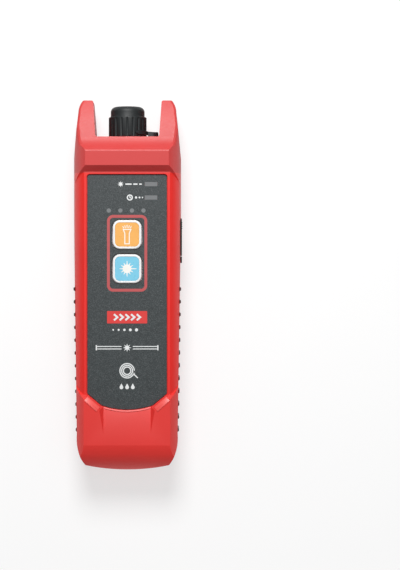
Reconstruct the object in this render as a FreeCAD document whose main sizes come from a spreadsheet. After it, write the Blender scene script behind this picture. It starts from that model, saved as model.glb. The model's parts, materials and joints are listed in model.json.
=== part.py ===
# Visual fault locator: a hand-held tester that shines red laser light into an optical fibre.
# It lies on its back. +Z is up, out of the face panel; +Y runs towards the laser port;
# X runs across. The origin is under the middle of the body, on the surface it lies on.
import FreeCAD, Part
import math
import os
import re

import Sketcher
from FreeCAD import Vector

# Driving sizes in millimetres (angles in degrees). Outlines are half sizes about X = 0.
SIZES = {
    # outer shells
    "body_length": 150.0,
    "brow_half": 21.8,
    "foot_narrowing": 1.4,
    "foot_corner_inset": 3.5,
    "foot_corner_drop": 2.1,
    "foot_side_rise": 14.5,
    "foot_bow": 69.0,
    "foot_side_bow": 18.0,
    "waist_drop": 32.0,
    "shoulder_drop": 9.0,
    "prong_side_inset": 1.9,
    "prong_tip_inset": 3.7,
    "prong_side_drop": 5.0,
    "prong_tip_bow": 8.0,
    "notch_depth": 15.0,
    "notch_inset": 8.9,
    "notch_widening": 1.0,
    "notch_round": 0.8,
    "parting_level": 13.0,
    "crown_level": 26.0,
    "bumper_level": 25.4,
    "rail_level": 23.5,
    "shell_wall": 2.0,
    "roof_level": 20.2,
    "front_draft": 14.0,
    "rear_draft": 11.0,
    # crown, brow and bumper forms
    "brow_near_drop": 11.8,
    "brow_far_drop": 5.5,
    "saddle_level": 22.2,
    "saddle_bow": 9.0,
    "prong_tip_level": 17.3,
    "prong_crown_bow": 70.0,
    "prong_tip_back": 7.0,
    "prong_back_bow": 23.0,
    "prong_back_run": 14.0,
    "crest_inset": 5.0,
    "crest_side_level": 14.5,
    "crest_bow": 15.7,
    "rail_inset": 4.5,
    "rail_side_level": 15.5,
    "rail_bow": 9.4,
    "back_inset": 5.0,
    "back_side_level": 9.0,
    "back_bow": 10.6,
    "bumper_run": 29.0,
    "foot_crown_run": 10.5,
    "foot_nose_level": 16.5,
    "foot_crown_bow": 13.0,
    "foot_back_run": 5.5,
    "foot_back_level": 8.0,
    "foot_back_bow": 10.0,
    # ramp down the middle of the bumper, from its level to the panel's lip
    "ramp_half": 9.5,
    "ramp_low_level": 22.9,
    "ramp_angle": 12.5,
    "ramp_length": 13.0,
    "ramp_side_slope": 0.84,
    # grip ribs
    "rib_count": 12.0,
    "rib_end_gap": 1.8,
    "rib_pitch": 5.19,
    "rib_base": 1.7,
    "rib_crest": 0.9,
    "rib_proud": 0.5,
    "rib_low": 5.0,
    "rib_high": 19.0,
    # face panel
    "panel_inset": 5.8,
    "panel_top_drop": 15.5,
    "panel_side_gap": 2.3,
    "panel_corner_inset": 5.7,
    "panel_corner_drop": 4.7,
    "panel_corner_grow": 0.7,
    "panel_side_grow": 0.4,
    "panel_bow": 31.0,
    "panel_round": 1.2,
    "panel_floor": 22.0,
    "panel_thick": 0.8,
    "panel_gap": 0.25,
    "bumper_lip": 0.5,
    "bumper_slope": 40.0,
    # keys and switches
    "torch_key_drop": 24.15,
    "key_pitch": 13.8,
    "key_size": 11.65,
    "key_round": 2.9,
    "key_gap": 0.35,
    "key_top": 23.6,
    "key_border": 0.95,
    "key_inlay_thick": 0.4,
    "key_inlay_gap": 0.05,
    "key_flange_low": 19.2,
    "key_flange_thick": 0.7,
    "key_flange_size": 13.2,
    "key_pocket_size": 8.6,
    "key_pocket_top": 20.6,
    "key_stem_size": 4.0,
    "key_travel": 0.5,
    "key_edge_cut": 0.35,
    "key_inlay_proud": 0.02,
    "mat_gap": 0.3,
    "mat_thick": 0.8,
    "mat_width": 17.0,
    "mat_length": 30.6,
    "switch_size": 6.0,
    "switch_height": 3.1,
    "plunger_size": 3.0,
    "plunger_rise": 0.9,
    "plunger_sunk": 1.0,
    "plunger_gap": 0.08,
    "plunger_room": 0.2,
    # windows in the panel and the light guide under it
    "window_inset": 6.35,
    "window_long": 5.1,
    "window_wide": 1.75,
    "laser_window_drop": 3.8,
    "power_window_drop": 9.2,
    "window_proud": 0.05,
    "window_gap": 0.05,
    "window_seat": 0.35,
    "charge_drop": 14.0,
    "charge_first_x": 7.4,
    "charge_pitch": 4.67,
    "guide_width": 1.8,
    "guide_gap": 0.1,
    "guide_led_gap": 0.3,
    # main board
    "board_under": 14.4,
    "board_thick": 1.6,
    "board_inset": 6.6,
    "board_length": 51.5,
    "board_far_drop": 1.0,
    "board_notch_half": 6.4,
    "board_notch_run": 9.5,
    "post_inset": 3.2,
    "post_near_run": 3.4,
    "post_far_drop": 12.9,
    "post_size": 4.8,
    "led_size": 1.6,
    "led_height": 0.9,
    "chip_size": 5.0,
    "chip_height": 1.0,
    "charger_inset": 3.8,
    "charger_length": 4.0,
    "charger_width": 4.9,
    "inductor_inset": 3.4,
    "inductor_run": 8.6,
    "inductor_size": 4.6,
    "inductor_height": 2.2,
    "connector_width": 7.4,
    "connector_depth": 4.6,
    "connector_height": 3.4,
    # charging socket and its cover
    "socket_drop": 26.4,
    "socket_width": 7.6,
    "socket_height": 2.6,
    "socket_depth": 5.4,
    "socket_wall": 0.3,
    "socket_key": 0.9,
    "socket_mouth_gap": 0.5,
    "tongue_width": 4.6,
    "tongue_height": 0.6,
    "tongue_length": 3.4,
    "port_width": 9.4,
    "port_height": 4.4,
    "cover_reach": 6.2,
    "cover_length": 15.2,
    "cover_height": 9.0,
    "cover_round": 2.2,
    "cover_sunk": 1.1,
    "cover_proud": 0.35,
    "cover_gap": 0.3,
    "cover_skin": 0.1,
    "cover_plug_length": 1.0,
    "cover_plug_gap": 0.5,
    "cover_tail_length": 2.6,
    "cover_tail_peg": 2.0,
    # battery
    "cell_radius": 7.1,
    "cell_length": 50.0,
    "cell_end_run": 7.0,
    "cell_level": 11.0,
    "cell_gap": 0.2,
    "cell_tab_width": 9.0,
    "cell_tab_height": 3.2,
    "cell_tab_thick": 1.2,
    "cradle_thick": 2.0,
    "cradle_half": 10.0,
    "cradle_top": 9.0,
    "cradle_inset": 10.0,
    "foam_gap": 0.1,
    "foam_width": 10.0,
    "foam_length": 32.0,
    # laser, ferrule sleeve and adapter, all on the port axis
    "port_axis": 13.0,
    "laser_radius": 4.5,
    "laser_length": 20.4,
    "laser_bore": 2.8,
    "diode_length": 3.6,
    "diode_sunk": 0.4,
    "lens_place": 14.0,
    "lens_thick": 3.4,
    "flange_radius": 7.0,
    "flange_thick": 1.5,
    "flange_gap": 0.1,
    "nose_radius": 5.0,
    "nose_reach": 10.2,
    "nose_hole_gap": 0.2,
    "beam_radius": 0.75,
    "ferrule_bore": 1.26,
    "sleeve_wall": 0.45,
    "sleeve_length": 10.7,
    "saddle_run": 16.0,
    "saddle_thick": 2.0,
    "saddle_half": 6.0,
    "saddle_gap": 0.05,
    "saddle_short": 0.4,
    # dust cap and its strap
    "cap_radius": 7.9,
    "cap_crown_radius": 7.1,
    "cap_start_gap": 0.3,
    "cap_step": 8.1,
    "cap_height": 12.3,
    "cap_slope": 1.6,
    "cap_bore_gap": 0.15,
    "cap_roof_gap": 0.5,
    "flute_count": 20.0,
    "flute_half": 0.8,
    "flute_depth": 0.45,
    "flute_length": 9.0,
    "strap_gap": 0.3,
    "strap_height": 2.2,
    "strap_thick": 1.6,
    "strap_top": 15.4,
    "strap_foot_inset": 2.5,
    "strap_foot_level": 5.4,
    "strap_foot_size": 3.6,
    "strap_peg_size": 2.2,
    "strap_peg_length": 2.6,
    "strap_peg_gap": 0.1,
    # torch
    "torch_inset": 3.3,
    "torch_level": 6.4,
    "torch_radius": 2.5,
    "torch_length": 5.0,
    "torch_dome_run": 1.7,
    "torch_dome_step": 0.5,
    "torch_dome_half": 1.6,
    "torch_face_half": 0.7,
    "bezel_radius": 3.1,
    "bezel_depth": 1.0,
    # screw bosses
    "screw_near_inset": 8.6,
    "screw_near_run": 12.0,
    "screw_far_inset": 7.2,
    "boss_size": 6.4,
    "screw_radius": 1.1,
    "screw_gap": 0.2,
    "pilot_gap": 0.02,
    "screw_seat": 3.2,
    "screw_head_radius": 2.4,
    "screw_end": 18.6,
}

# Places and half widths that follow the driving sizes.
PLACES = {
    "notch_floor": "body_length / 2 - notch_depth",
    "shoulder_end": "notch_floor - shoulder_drop",
    "waist_end": "notch_floor - waist_drop",
    "brow_near": "notch_floor - brow_near_drop",
    "brow_far": "notch_floor - brow_far_drop",
    "foot_half": "brow_half - foot_narrowing",
    "foot_corner_half": "foot_half - foot_corner_inset",
    "prong_side_half": "brow_half - prong_side_inset",
    "prong_tip_half": "brow_half - prong_tip_inset",
    "notch_base_half": "brow_half - notch_inset",
    "notch_mouth_half": "notch_base_half + notch_widening",
    "crest_half": "brow_half - crest_inset",
    "rail_half": "brow_half - rail_inset",
    "back_half": "brow_half - back_inset",
    "rib_first": "body_length / 2 - foot_side_rise - rib_end_gap - (rib_count - 1) * rib_pitch",
    "panel_half": "brow_half - panel_inset",
    "panel_corner_half": "panel_half - panel_corner_inset",
    "panel_top": "notch_floor - panel_top_drop",
    "torch_key_y": "panel_top - torch_key_drop",
    "laser_key_y": "torch_key_y - key_pitch",
    "keys_middle": "torch_key_y - key_pitch / 2",
    "window_x": "panel_half - window_inset",
    "laser_window_y": "panel_top - laser_window_drop",
    "power_window_y": "panel_top - power_window_drop",
    "charge_y": "panel_top - charge_drop",
    "board_top": "board_under + board_thick",
    "board_half": "brow_half - board_inset",
    "board_far": "panel_top - board_far_drop",
    "board_near": "board_far - board_length",
    "board_notch_start": "board_far - board_notch_run",
    "socket_y": "panel_top - socket_drop",
    "cover_start": "socket_y - cover_reach",
    "torch_x": "notch_base_half - torch_inset",
    "strap_foot_x": "notch_base_half - strap_foot_inset",
}

OUT_FOLDER = "parts"
BEYOND = "4"  # how far cutting outlines reach past what they cut

doc = FreeCAD.newDocument("VisualFaultLocator")
sheet = doc.addObject("Spreadsheet::Sheet", "Sizes")
nodes = []


def fill_sheet():
    """Write every driving size into the sheet as text, under its alias."""
    for row, (name, value) in enumerate(SIZES.items(), start=1):
        sheet.set(f"A{row}", name)
        sheet.set(f"B{row}", str(value))
        sheet.setAlias(f"B{row}", name)
    doc.recompute()


def sized(formula):
    """Turn a formula in size and place names into an expression on the sheet."""
    def cell(match):
        word = match.group()
        if word in PLACES:
            return f"({sized(PLACES[word])})"
        return f"Sizes.{word}" if word in SIZES else word

    return re.sub(r"[a-z][a-z_]*", cell, str(formula))


def value_of(formula):
    """Work out a formula in size and place names."""
    return float(sheet.evalExpression(sized(formula)))


def bind(thing, name, formula):
    """Bind a property of a document object to a formula in size names."""
    thing.setExpression(name, sized(formula))


# ---------------------------------------------------------------- sketches


def pin_point(sketch, geometry, position, x, y):
    """Hold a sketch point at (x, y), both formulas."""
    for kind, formula in (("DistanceX", x), ("DistanceY", y)):
        rule = Sketcher.Constraint(kind, -1, 1, geometry, position, value_of(formula))
        index = sketch.addConstraint(rule)
        bind(sketch, f"Constraints[{index}]", formula)


def hold_radius(sketch, geometry, formula):
    """Hold the radius of an arc or circle at a formula."""
    index = sketch.addConstraint(Sketcher.Constraint("Radius", geometry, value_of(formula)))
    bind(sketch, f"Constraints[{index}]", formula)


def arc_between(start, end, radius, outward):
    """Make a counter-clockwise arc between two points, bulging to the right of travel if outward."""
    chord = end - start
    half = chord.Length / 2
    left = Vector(-chord.y, chord.x, 0).normalize()
    reach = math.sqrt(max(radius * radius - half * half, 0))
    centre = (start + end) / 2 + left * (reach if outward else -reach)
    first, last = (start, end) if outward else (end, start)
    angles = [math.atan2(point.y - centre.y, point.x - centre.x) for point in (first, last)]
    circle = Part.Circle(centre, Vector(0, 0, 1), radius)
    return Part.ArcOfCircle(circle, angles[0], angles[1])


def rounded_corner(before, corner, after, radius):
    """Return the two tangent points of a rounding and whether it turns left."""
    into = (before - corner).normalize()
    away = (after - corner).normalize()
    half_angle = into.getAngle(away) / 2
    reach = radius / math.tan(half_angle)
    turns_left = (corner - before).cross(after - corner).z > 0
    return corner + into * reach, corner + away * reach, turns_left


def draw(sketch, corners):
    """Draw a closed outline.

    Each corner is (x, y), (x, y, "round", radius) for a rounded corner between straight sides,
    or (x, y, "bulge" or "hollow", radius) where an arc leads to the next corner, bulging to the
    right or to the left of the way round.
    """
    count = len(corners)
    spots = [Vector(value_of(c[0]), value_of(c[1]), 0) for c in corners]
    kinds = [c[2] if len(c) > 2 else "" for c in corners]
    starts = list(spots)
    ends = list(spots)
    turns = [False] * count
    for i in range(count):
        if kinds[i] == "round":
            radius = value_of(corners[i][3])
            made = rounded_corner(spots[i - 1], spots[i], spots[(i + 1) % count], radius)
            ends[i], starts[i], turns[i] = made
    sides = []
    for i in range(count):
        start = starts[i]
        end = ends[(i + 1) % count]
        if kinds[i] in ("bulge", "hollow"):
            outward = kinds[i] == "bulge"
            curve = arc_between(start, end, value_of(corners[i][3]), outward)
            first, last = (1, 2) if outward else (2, 1)
        else:
            curve = Part.LineSegment(start, end)
            first, last = 1, 2
        sides.append((sketch.addGeometry(curve), first, last))
    for i in range(count):
        here, first, _ = sides[i]
        back, _, last = sides[i - 1]
        if kinds[i] == "round":
            join_rounded(sketch, corners[i], sides[i - 1], sides[i], (ends[i], starts[i]), turns[i])
        else:
            sketch.addConstraint(Sketcher.Constraint("Coincident", back, last, here, first))
            pin_point(sketch, here, first, corners[i][0], corners[i][1])
        if kinds[i] in ("bulge", "hollow"):
            hold_radius(sketch, here, corners[i][3])


def join_rounded(sketch, corner, side_in, side_out, points, turns_left):
    """Round one corner: a pinned vertex on both sides' lines and an arc tangent to them."""
    radius = value_of(corner[3])
    arc = sketch.addGeometry(arc_between(points[0], points[1], radius, turns_left))
    first, last = (1, 2) if turns_left else (2, 1)
    vertex = sketch.addGeometry(Part.Point(Vector(value_of(corner[0]), value_of(corner[1]), 0)))
    sketch.toggleConstruction(vertex)
    pin_point(sketch, vertex, 1, corner[0], corner[1])
    for side in (side_in[0], side_out[0]):
        sketch.addConstraint(Sketcher.Constraint("PointOnObject", vertex, 1, side))
    sketch.addConstraint(Sketcher.Constraint("Tangent", side_in[0], side_in[2], arc, first))
    sketch.addConstraint(Sketcher.Constraint("Tangent", arc, last, side_out[0], side_out[1]))
    hold_radius(sketch, arc, corner[3])


def draw_circle(sketch, x, y, radius):
    """Draw a circle round (x, y)."""
    middle = Vector(value_of(x), value_of(y), 0)
    ring = sketch.addGeometry(Part.Circle(middle, Vector(0, 0, 1), value_of(radius)))
    pin_point(sketch, ring, 3, x, y)
    hold_radius(sketch, ring, radius)


def box_corners(x, y, wide, high, rounding=None):
    """Return the corners of a rectangle centred at (x, y), with rounded corners if asked."""
    extra = ("round", rounding) if rounding else ()
    signs = (("-", "-"), ("+", "-"), ("+", "+"), ("-", "+"))
    return [(f"{x} {a} ({wide}) / 2", f"{y} {b} ({high}) / 2") + extra for a, b in signs]


def mirrored(corners, closing=()):
    """Return right-hand corners and their mirror images; closing is the last side's arc."""
    others = []
    for i in range(len(corners) - 1, -1, -1):
        x, y = corners[i][0], corners[i][1]
        if len(corners[i]) > 2 and corners[i][2] == "round":
            extra = corners[i][2:]
        elif i == 0:
            extra = closing
        elif len(corners[i - 1]) > 2 and corners[i - 1][2] != "round":
            extra = corners[i - 1][2:]
        else:
            extra = ()
        others.append((f"-({x})", y) + tuple(extra))
    return corners + others


# ---------------------------------------------------------------- features


def new_body(label):
    """Start a PartDesign body with its label."""
    body = doc.addObject("PartDesign::Body", label)
    body.Label = label
    return body


def add_node(thing, label):
    """Label a finished sub-part and list it for export."""
    thing.Label = label
    nodes.append(thing)
    return thing


def sketch_on(body, role, offset="0"):
    """Attach a new sketch to one of the body's own origin planes, moved along its normal."""
    sketch = body.newObject("Sketcher::SketchObject", f"{body.Name}_sketch")
    plane = [f for f in body.Origin.OriginFeatures if f.Role == role][0]
    sketch.AttachmentSupport = (plane, [""])
    sketch.MapMode = "FlatFace"
    bind(sketch, "AttachmentOffset.Base.z", offset)
    return sketch


def level_sketch(body, level):
    """Sketch seen from above, at a level along Z."""
    return sketch_on(body, "XY_Plane", level)


def front_sketch(body, y):
    """Sketch seen along +Y, at a place along Y; its x is X and its y is Z."""
    return sketch_on(body, "XZ_Plane", f"-({y})")


def side_sketch(body, x="0"):
    """Sketch seen from +X, at a place along X; its x is Y and its y is Z."""
    return sketch_on(body, "YZ_Plane", x)


def changed(body, before, grows, what):
    """Recompute and make sure that a feature has added or removed material."""
    doc.recompute()
    gain = body.Shape.Volume - before
    if (gain if grows else -gain) < 1e-6:
        raise RuntimeError(f"{body.Label}: {what} changed nothing")


def volume_of(body):
    """Return the volume a body has so far."""
    doc.recompute()
    return 0.0 if body.Shape.isNull() else body.Shape.Volume


def pad(body, sketch, length, turned=False, middle=False, taper=None):
    """Pad a sketch along its normal (towards -Y from a front sketch), or back if turned."""
    before = volume_of(body)
    feature = body.newObject("PartDesign::Pad", f"{body.Name}_pad")
    feature.Profile = (sketch, [""])
    bind(feature, "Length", length)
    feature.Reversed = turned
    feature.Midplane = middle
    if taper is not None:
        bind(feature, "TaperAngle", taper)
    changed(body, before, True, "pad")
    return feature


def pocket(body, sketch, length, turned=False, middle=False, taper=None):
    """Cut a sketch against its normal (towards +Y from a front sketch), or along it if turned."""
    before = volume_of(body)
    feature = body.newObject("PartDesign::Pocket", f"{body.Name}_pocket")
    feature.Profile = (sketch, [""])
    bind(feature, "Length", length)
    feature.Reversed = turned
    feature.Midplane = middle
    if taper is not None:
        bind(feature, "TaperAngle", taper)
    changed(body, before, False, "pocket")
    return feature


def spin(body, sketch, cut=False):
    """Turn a sketch once round its horizontal axis line at the port axis, or cut with it."""
    before = volume_of(body)
    kind = "Groove" if cut else "Revolution"
    feature = body.newObject(f"PartDesign::{kind}", f"{body.Name}_{kind.lower()}")
    feature.Profile = (sketch, [""])
    feature.ReferenceAxis = (sketch, ["H_Axis"])
    feature.Angle = 360.0
    changed(body, before, not cut, kind)
    return feature


# ---------------------------------------------------------------- shared places and outlines

FOOT = "-body_length / 2"
TIP = "body_length / 2"
BUMPER = f"({FOOT} + bumper_run)"
PANEL_LOW = f"({BUMPER} + panel_side_gap)"
PORT_LEVEL = "(board_under - socket_height / 2)"
GUIDE_MIDDLE = "(charge_pitch * 3 / 2 - charge_first_x)"
GUIDE_LENGTH = "(charge_pitch * 3 + guide_width)"
SIDE_SLOPE = f"((brow_half - foot_half) / (waist_end - ({FOOT} + foot_side_rise)))"


def side_at(y):
    """Half width of the outer wall at a place y between the foot and the waist."""
    return f"(brow_half - {SIDE_SLOPE} * (waist_end - ({y})))"


def plan_corners():
    """Outer outline of both shells seen from above."""
    right = [
        ("foot_corner_half", f"{FOOT} + foot_corner_drop", "bulge", "foot_side_bow"),
        ("foot_half", f"{FOOT} + foot_side_rise"),
        ("brow_half", "waist_end"),
        ("brow_half", "shoulder_end"),
        ("prong_side_half", f"{TIP} - prong_side_drop", "bulge", "prong_tip_bow"),
        ("prong_tip_half", TIP),
        ("notch_mouth_half", TIP, "round", "notch_round"),
        ("notch_base_half", "notch_floor", "round", "notch_round"),
    ]
    return mirrored(right, ("bulge", "foot_bow"))


def cavity_corners():
    """Inside of the shells at the parting plane."""
    right = [
        ("foot_corner_half - shell_wall", f"{FOOT} + foot_corner_drop + shell_wall"),
        ("foot_half - shell_wall", f"{FOOT} + foot_side_rise"),
        ("brow_half - shell_wall", "waist_end"),
        ("brow_half - shell_wall", "shoulder_end"),
        ("prong_side_half - shell_wall / 2", "notch_floor - shell_wall"),
    ]
    return mirrored(right)


def panel_corners(grow):
    """Outline of the face panel, grown by a formula."""
    right = [
        (f"panel_corner_half + ({grow}) * panel_corner_grow",
         f"{PANEL_LOW} - panel_corner_drop - ({grow})"),
        (f"panel_half + ({grow})", f"{PANEL_LOW} - ({grow}) * panel_side_grow"),
        (f"panel_half + ({grow})", f"panel_top + ({grow})", "round", "panel_round"),
    ]
    return mirrored(right, ("bulge", "panel_bow"))


def boss_places():
    """Places of the four screw bosses that join the shells."""
    near = f"{FOOT} + screw_near_run"
    near_x = "(brow_half - screw_near_inset)"
    far_x = "(brow_half - screw_far_inset)"
    return [(f"-{near_x}", near), (near_x, near), (f"-{far_x}", "shoulder_end"), (far_x, "shoulder_end")]


def board_posts():
    """Places of the four posts that carry the board."""
    x = "(board_half - post_inset)"
    return [(side, y) for y in ("board_near + post_near_run", "board_far - post_far_drop")
            for side in (f"-{x}", x)]


# ---------------------------------------------------------------- shells


def cut_front_crown(body):
    """Shape the front along its length: foot nose, bumper level, saddle and prong crowns."""
    far = f"crown_level + {BEYOND}"
    low_end = [
        (f"{FOOT} + foot_crown_run", "bumper_level"),
        ("0", "bumper_level"),
        ("0", far),
        (f"{FOOT} - {BEYOND}", far),
        (f"{FOOT} - {BEYOND}", "foot_nose_level"),
        (f"{FOOT}", "foot_nose_level", "hollow", "foot_crown_bow"),
    ]
    top_end = [
        ("brow_far", "crown_level", "bulge", "saddle_bow"),
        ("notch_floor", "saddle_level", "hollow", "prong_crown_bow"),
        (TIP, "prong_tip_level"),
        (f"{TIP} + {BEYOND}", "prong_tip_level"),
        (f"{TIP} + {BEYOND}", far),
        ("brow_far", far),
    ]
    profile = side_sketch(body)
    draw(profile, low_end)
    draw(profile, top_end)
    pocket(body, profile, f"2 * brow_half + {BEYOND}", middle=True)


def cut_crest(body):
    """Round both sides of the front from the wall up to the crest line."""
    profile = front_sketch(body, "0")
    right = [
        ("crest_half", "crown_level", "hollow", "crest_bow"),
        ("brow_half", "crest_side_level"),
        (f"brow_half + {BEYOND}", "crest_side_level"),
        (f"brow_half + {BEYOND}", f"crown_level + {BEYOND}"),
        ("crest_half", f"crown_level + {BEYOND}"),
    ]
    draw(profile, right)
    left = [(f"-({c[0]})", c[1]) for c in reversed(right)]
    left[3] = (f"-({right[1][0]})", right[1][1], "hollow", "crest_bow")
    draw(profile, left)
    pocket(body, profile, f"body_length + 2 * {BEYOND}", middle=True)


def make_waist_relief():
    """Tool that slims the middle of the front and leaves sloped ends at brow and bumper."""
    body = new_body("waist_relief")
    low = "parting_level + shell_wall"
    high = f"crown_level + {BEYOND}"
    span = side_sketch(body)
    draw(span, [
        (f"{BUMPER} + bumper_level - ({low})", low),
        (f"brow_near - crown_level + ({low})", low),
        (f"brow_near - crown_level + ({high})", high),
        (f"{BUMPER} + bumper_level - ({high})", high),
    ])
    pad(body, span, f"2 * brow_half + {BEYOND}", middle=True)
    keep = front_sketch(body, "0")
    wide = f"brow_half + {BEYOND}"
    draw(keep, [
        (f"-({wide})", "parting_level"),
        (wide, "parting_level"),
        (wide, "rail_side_level"),
        ("brow_half", "rail_side_level", "bulge", "rail_bow"),
        ("rail_half", "rail_level"),
        ("-rail_half", "rail_level", "bulge", "rail_bow"),
        ("-brow_half", "rail_side_level"),
        (f"-({wide})", "rail_side_level"),
    ])
    pocket(body, keep, f"body_length + 2 * {BEYOND}", middle=True)
    return body


def cut_bodies(body, tool):
    """Cut a finished tool body out of another."""
    before = volume_of(body)
    cut = body.newObject("PartDesign::Boolean", f"{body.Name}_cut")
    cut.Type = "Cut"
    cut.setObjects([tool])
    changed(body, before, False, "boolean cut")


def add_ribs(body, low, high):
    """Row of grip ribs down both side walls between two levels."""
    for side in ("", "-"):
        sketch = level_sketch(body, low)
        guide = sketch.addGeometry(Part.LineSegment(
            Vector(value_of(f"{side}brow_half"), value_of("waist_end"), 0),
            Vector(value_of(f"{side}foot_half"), value_of(f"{FOOT} + foot_side_rise"), 0)))
        sketch.toggleConstruction(guide)
        pin_point(sketch, guide, 1, f"{side}brow_half", "waist_end")
        pin_point(sketch, guide, 2, f"{side}foot_half", f"{FOOT} + foot_side_rise")
        wall = side_at("-rib_first")
        inner = f"{side}({wall} - shell_wall / 2)"
        outer = f"{side}({wall} + rib_proud)"
        draw(sketch, [
            (inner, "-rib_first - rib_base / 2"),
            (f"{side}{wall}", "-rib_first - rib_base / 2"),
            (outer, "-rib_first - rib_crest / 2"),
            (outer, "-rib_first + rib_crest / 2"),
            (f"{side}{wall}", "-rib_first + rib_base / 2"),
            (inner, "-rib_first + rib_base / 2"),
        ])
        rib = pad(body, sketch, f"{high} - ({low})")
        before = volume_of(body)
        row = body.newObject("PartDesign::LinearPattern", f"{body.Name}_row")
        row.Originals = [rib]
        row.Direction = (sketch, ["Axis0"])
        bind(row, "Occurrences", "rib_count")
        bind(row, "Length", "(rib_count - 1) * rib_pitch")
        body.Tip = row
        changed(body, before, True, "row of ribs")


def cut_shared_openings(body):
    """Cut what crosses the parting plane: adapter hole, cover recess, port and cover peg."""
    nose = front_sketch(body, f"notch_floor - {BEYOND}")
    draw_circle(nose, "0", "port_axis", "nose_radius + nose_hole_gap")
    pocket(body, nose, f"2 * {BEYOND}")
    flange = front_sketch(body, "notch_floor - shell_wall")
    draw_circle(flange, "0", "port_axis", "flange_radius + flange_gap")
    pocket(body, flange, "flange_thick + shell_wall", turned=True)
    recess = side_sketch(body, "brow_half - cover_sunk")
    middle = "(cover_start + cover_length - (cover_length + cover_gap + cover_tail_length) / 2)"
    draw(recess, box_corners(middle, PORT_LEVEL,
                             "cover_length + cover_tail_length + 3 * cover_gap",
                             "cover_height + 2 * cover_gap", "cover_round"))
    pocket(body, recess, BEYOND, turned=True)
    port = side_sketch(body, f"brow_half - {BEYOND}")
    draw(port, box_corners("socket_y", PORT_LEVEL, "port_width", "port_height"))
    peg = "cover_tail_peg + pilot_gap"
    draw(port, box_corners("cover_start - cover_gap - cover_tail_length / 2", PORT_LEVEL, peg, peg))
    pocket(body, port, BEYOND, turned=True)


def make_front_housing():
    """Front shell: crowned outside, hollow inside, with the panel recess and key wells."""
    body = new_body("front_housing")
    plan = level_sketch(body, "parting_level")
    draw(plan, plan_corners())
    pad(body, plan, "crown_level - parting_level")
    cut_front_crown(body)
    cut_crest(body)
    cut_bodies(body, make_waist_relief())
    field = level_sketch(body, "rail_level")
    draw(field, panel_corners("bumper_lip"))
    pocket(body, field, "crown_level - rail_level", turned=True, taper="bumper_slope")
    recess = level_sketch(body, "panel_floor")
    draw(recess, panel_corners("panel_gap"))
    pocket(body, recess, "crown_level - panel_floor", turned=True)
    cut_bumper_ramp(body)
    add_ribs(body, "parting_level", "rib_high")
    cavity = level_sketch(body, "parting_level")
    draw(cavity, cavity_corners())
    pocket(body, cavity, "roof_level - parting_level", turned=True, taper="-front_draft")
    add_front_bosses(body)
    cut_key_wells(body)
    cut_shared_openings(body)
    return add_node(body, "front_housing")


def cut_bumper_ramp(body):
    """Ramp with sloped sides down the middle of the bumper, ending at the panel's lip."""
    ramp = front_sketch(body, f"{PANEL_LOW} - panel_corner_drop")
    bind(ramp, "AttachmentOffset.Base.y", "ramp_low_level")
    bind(ramp, "AttachmentOffset.Rotation.Axis.x", "1")
    bind(ramp, "AttachmentOffset.Rotation.Axis.z", "0")
    bind(ramp, "AttachmentOffset.Rotation.Angle", "-ramp_angle")
    wide = f"(ramp_half + ramp_side_slope * {BEYOND})"
    draw(ramp, [("-ramp_half", "0"), ("ramp_half", "0"), (wide, BEYOND), (f"-{wide}", BEYOND)])
    pocket(body, ramp, "ramp_length", turned=True)


def add_front_bosses(body):
    """Screw bosses and the laser saddle that hang from the roof."""
    bosses = level_sketch(body, "parting_level")
    for x, y in boss_places():
        draw(bosses, box_corners(x, y, "boss_size", "boss_size"))
    pad(body, bosses, "roof_level - parting_level")
    saddle = front_sketch(body, "notch_floor - saddle_run")
    seat = "laser_radius + saddle_gap"
    edge = "port_axis + saddle_short"
    reach = f"sqrt(({seat})^2 - saddle_short^2)"
    draw(saddle, [
        (f"-{reach}", edge, "hollow", seat),
        (reach, edge),
        ("saddle_half", edge),
        ("saddle_half", "roof_level"),
        ("-saddle_half", "roof_level"),
        ("-saddle_half", edge),
    ])
    pad(body, saddle, "saddle_thick")
    pilots = level_sketch(body, "parting_level")
    for x, y in boss_places():
        draw_circle(pilots, x, y, "screw_radius + pilot_gap")
    pocket(body, pilots, "screw_end - parting_level", turned=True)


def cut_key_wells(body):
    """Wells for the two keys, light holes under the windows and a slot for the light guide."""
    holes = level_sketch(body, "roof_level")
    for y in ("torch_key_y", "laser_key_y"):
        well = "key_size + 2 * key_gap"
        draw(holes, box_corners("0", y, well, well, "key_round + key_gap"))
    for y in ("laser_window_y", "power_window_y"):
        draw(holes, box_corners("window_x", y, "window_long - 2 * window_seat",
                                "window_wide - 2 * window_seat"))
    draw(holes, box_corners(GUIDE_MIDDLE, "charge_y", f"{GUIDE_LENGTH} + 2 * guide_gap",
                            "guide_width + 2 * guide_gap"))
    pocket(body, holes, BEYOND, turned=True)


def make_rear_housing():
    """Rear shell: rounded back, hollow inside, with screw bosses, board posts and cradles."""
    body = new_body("rear_housing")
    plan = level_sketch(body, "0")
    draw(plan, plan_corners())
    pad(body, plan, "parting_level")
    cut_back_ends(body)
    cut_back_sides(body)
    add_ribs(body, "rib_low", "parting_level")
    cavity = level_sketch(body, "parting_level")
    draw(cavity, cavity_corners())
    pocket(body, cavity, "parting_level - shell_wall", taper="-rear_draft")
    add_cradles(body)
    posts = level_sketch(body, "shell_wall")
    for x, y in board_posts():
        draw(posts, box_corners(x, y, "post_size", "post_size"))
    pad(body, posts, "board_under - shell_wall")
    bosses = level_sketch(body, "shell_wall")
    for x, y in boss_places():
        draw(bosses, box_corners(x, y, "boss_size", "boss_size"))
    pad(body, bosses, "parting_level - shell_wall")
    cut_rear_screw_holes(body)
    cut_shared_openings(body)
    ends = front_sketch(body, "notch_floor - bezel_depth - torch_length")
    draw_circle(ends, "-torch_x", "torch_level", "bezel_radius + pilot_gap")
    peg = "strap_peg_size + 2 * strap_peg_gap"
    draw(ends, box_corners("strap_foot_x", "strap_foot_level", peg, peg))
    pocket(body, ends, f"bezel_depth + torch_length + {BEYOND}")
    return add_node(body, "rear_housing")


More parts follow.
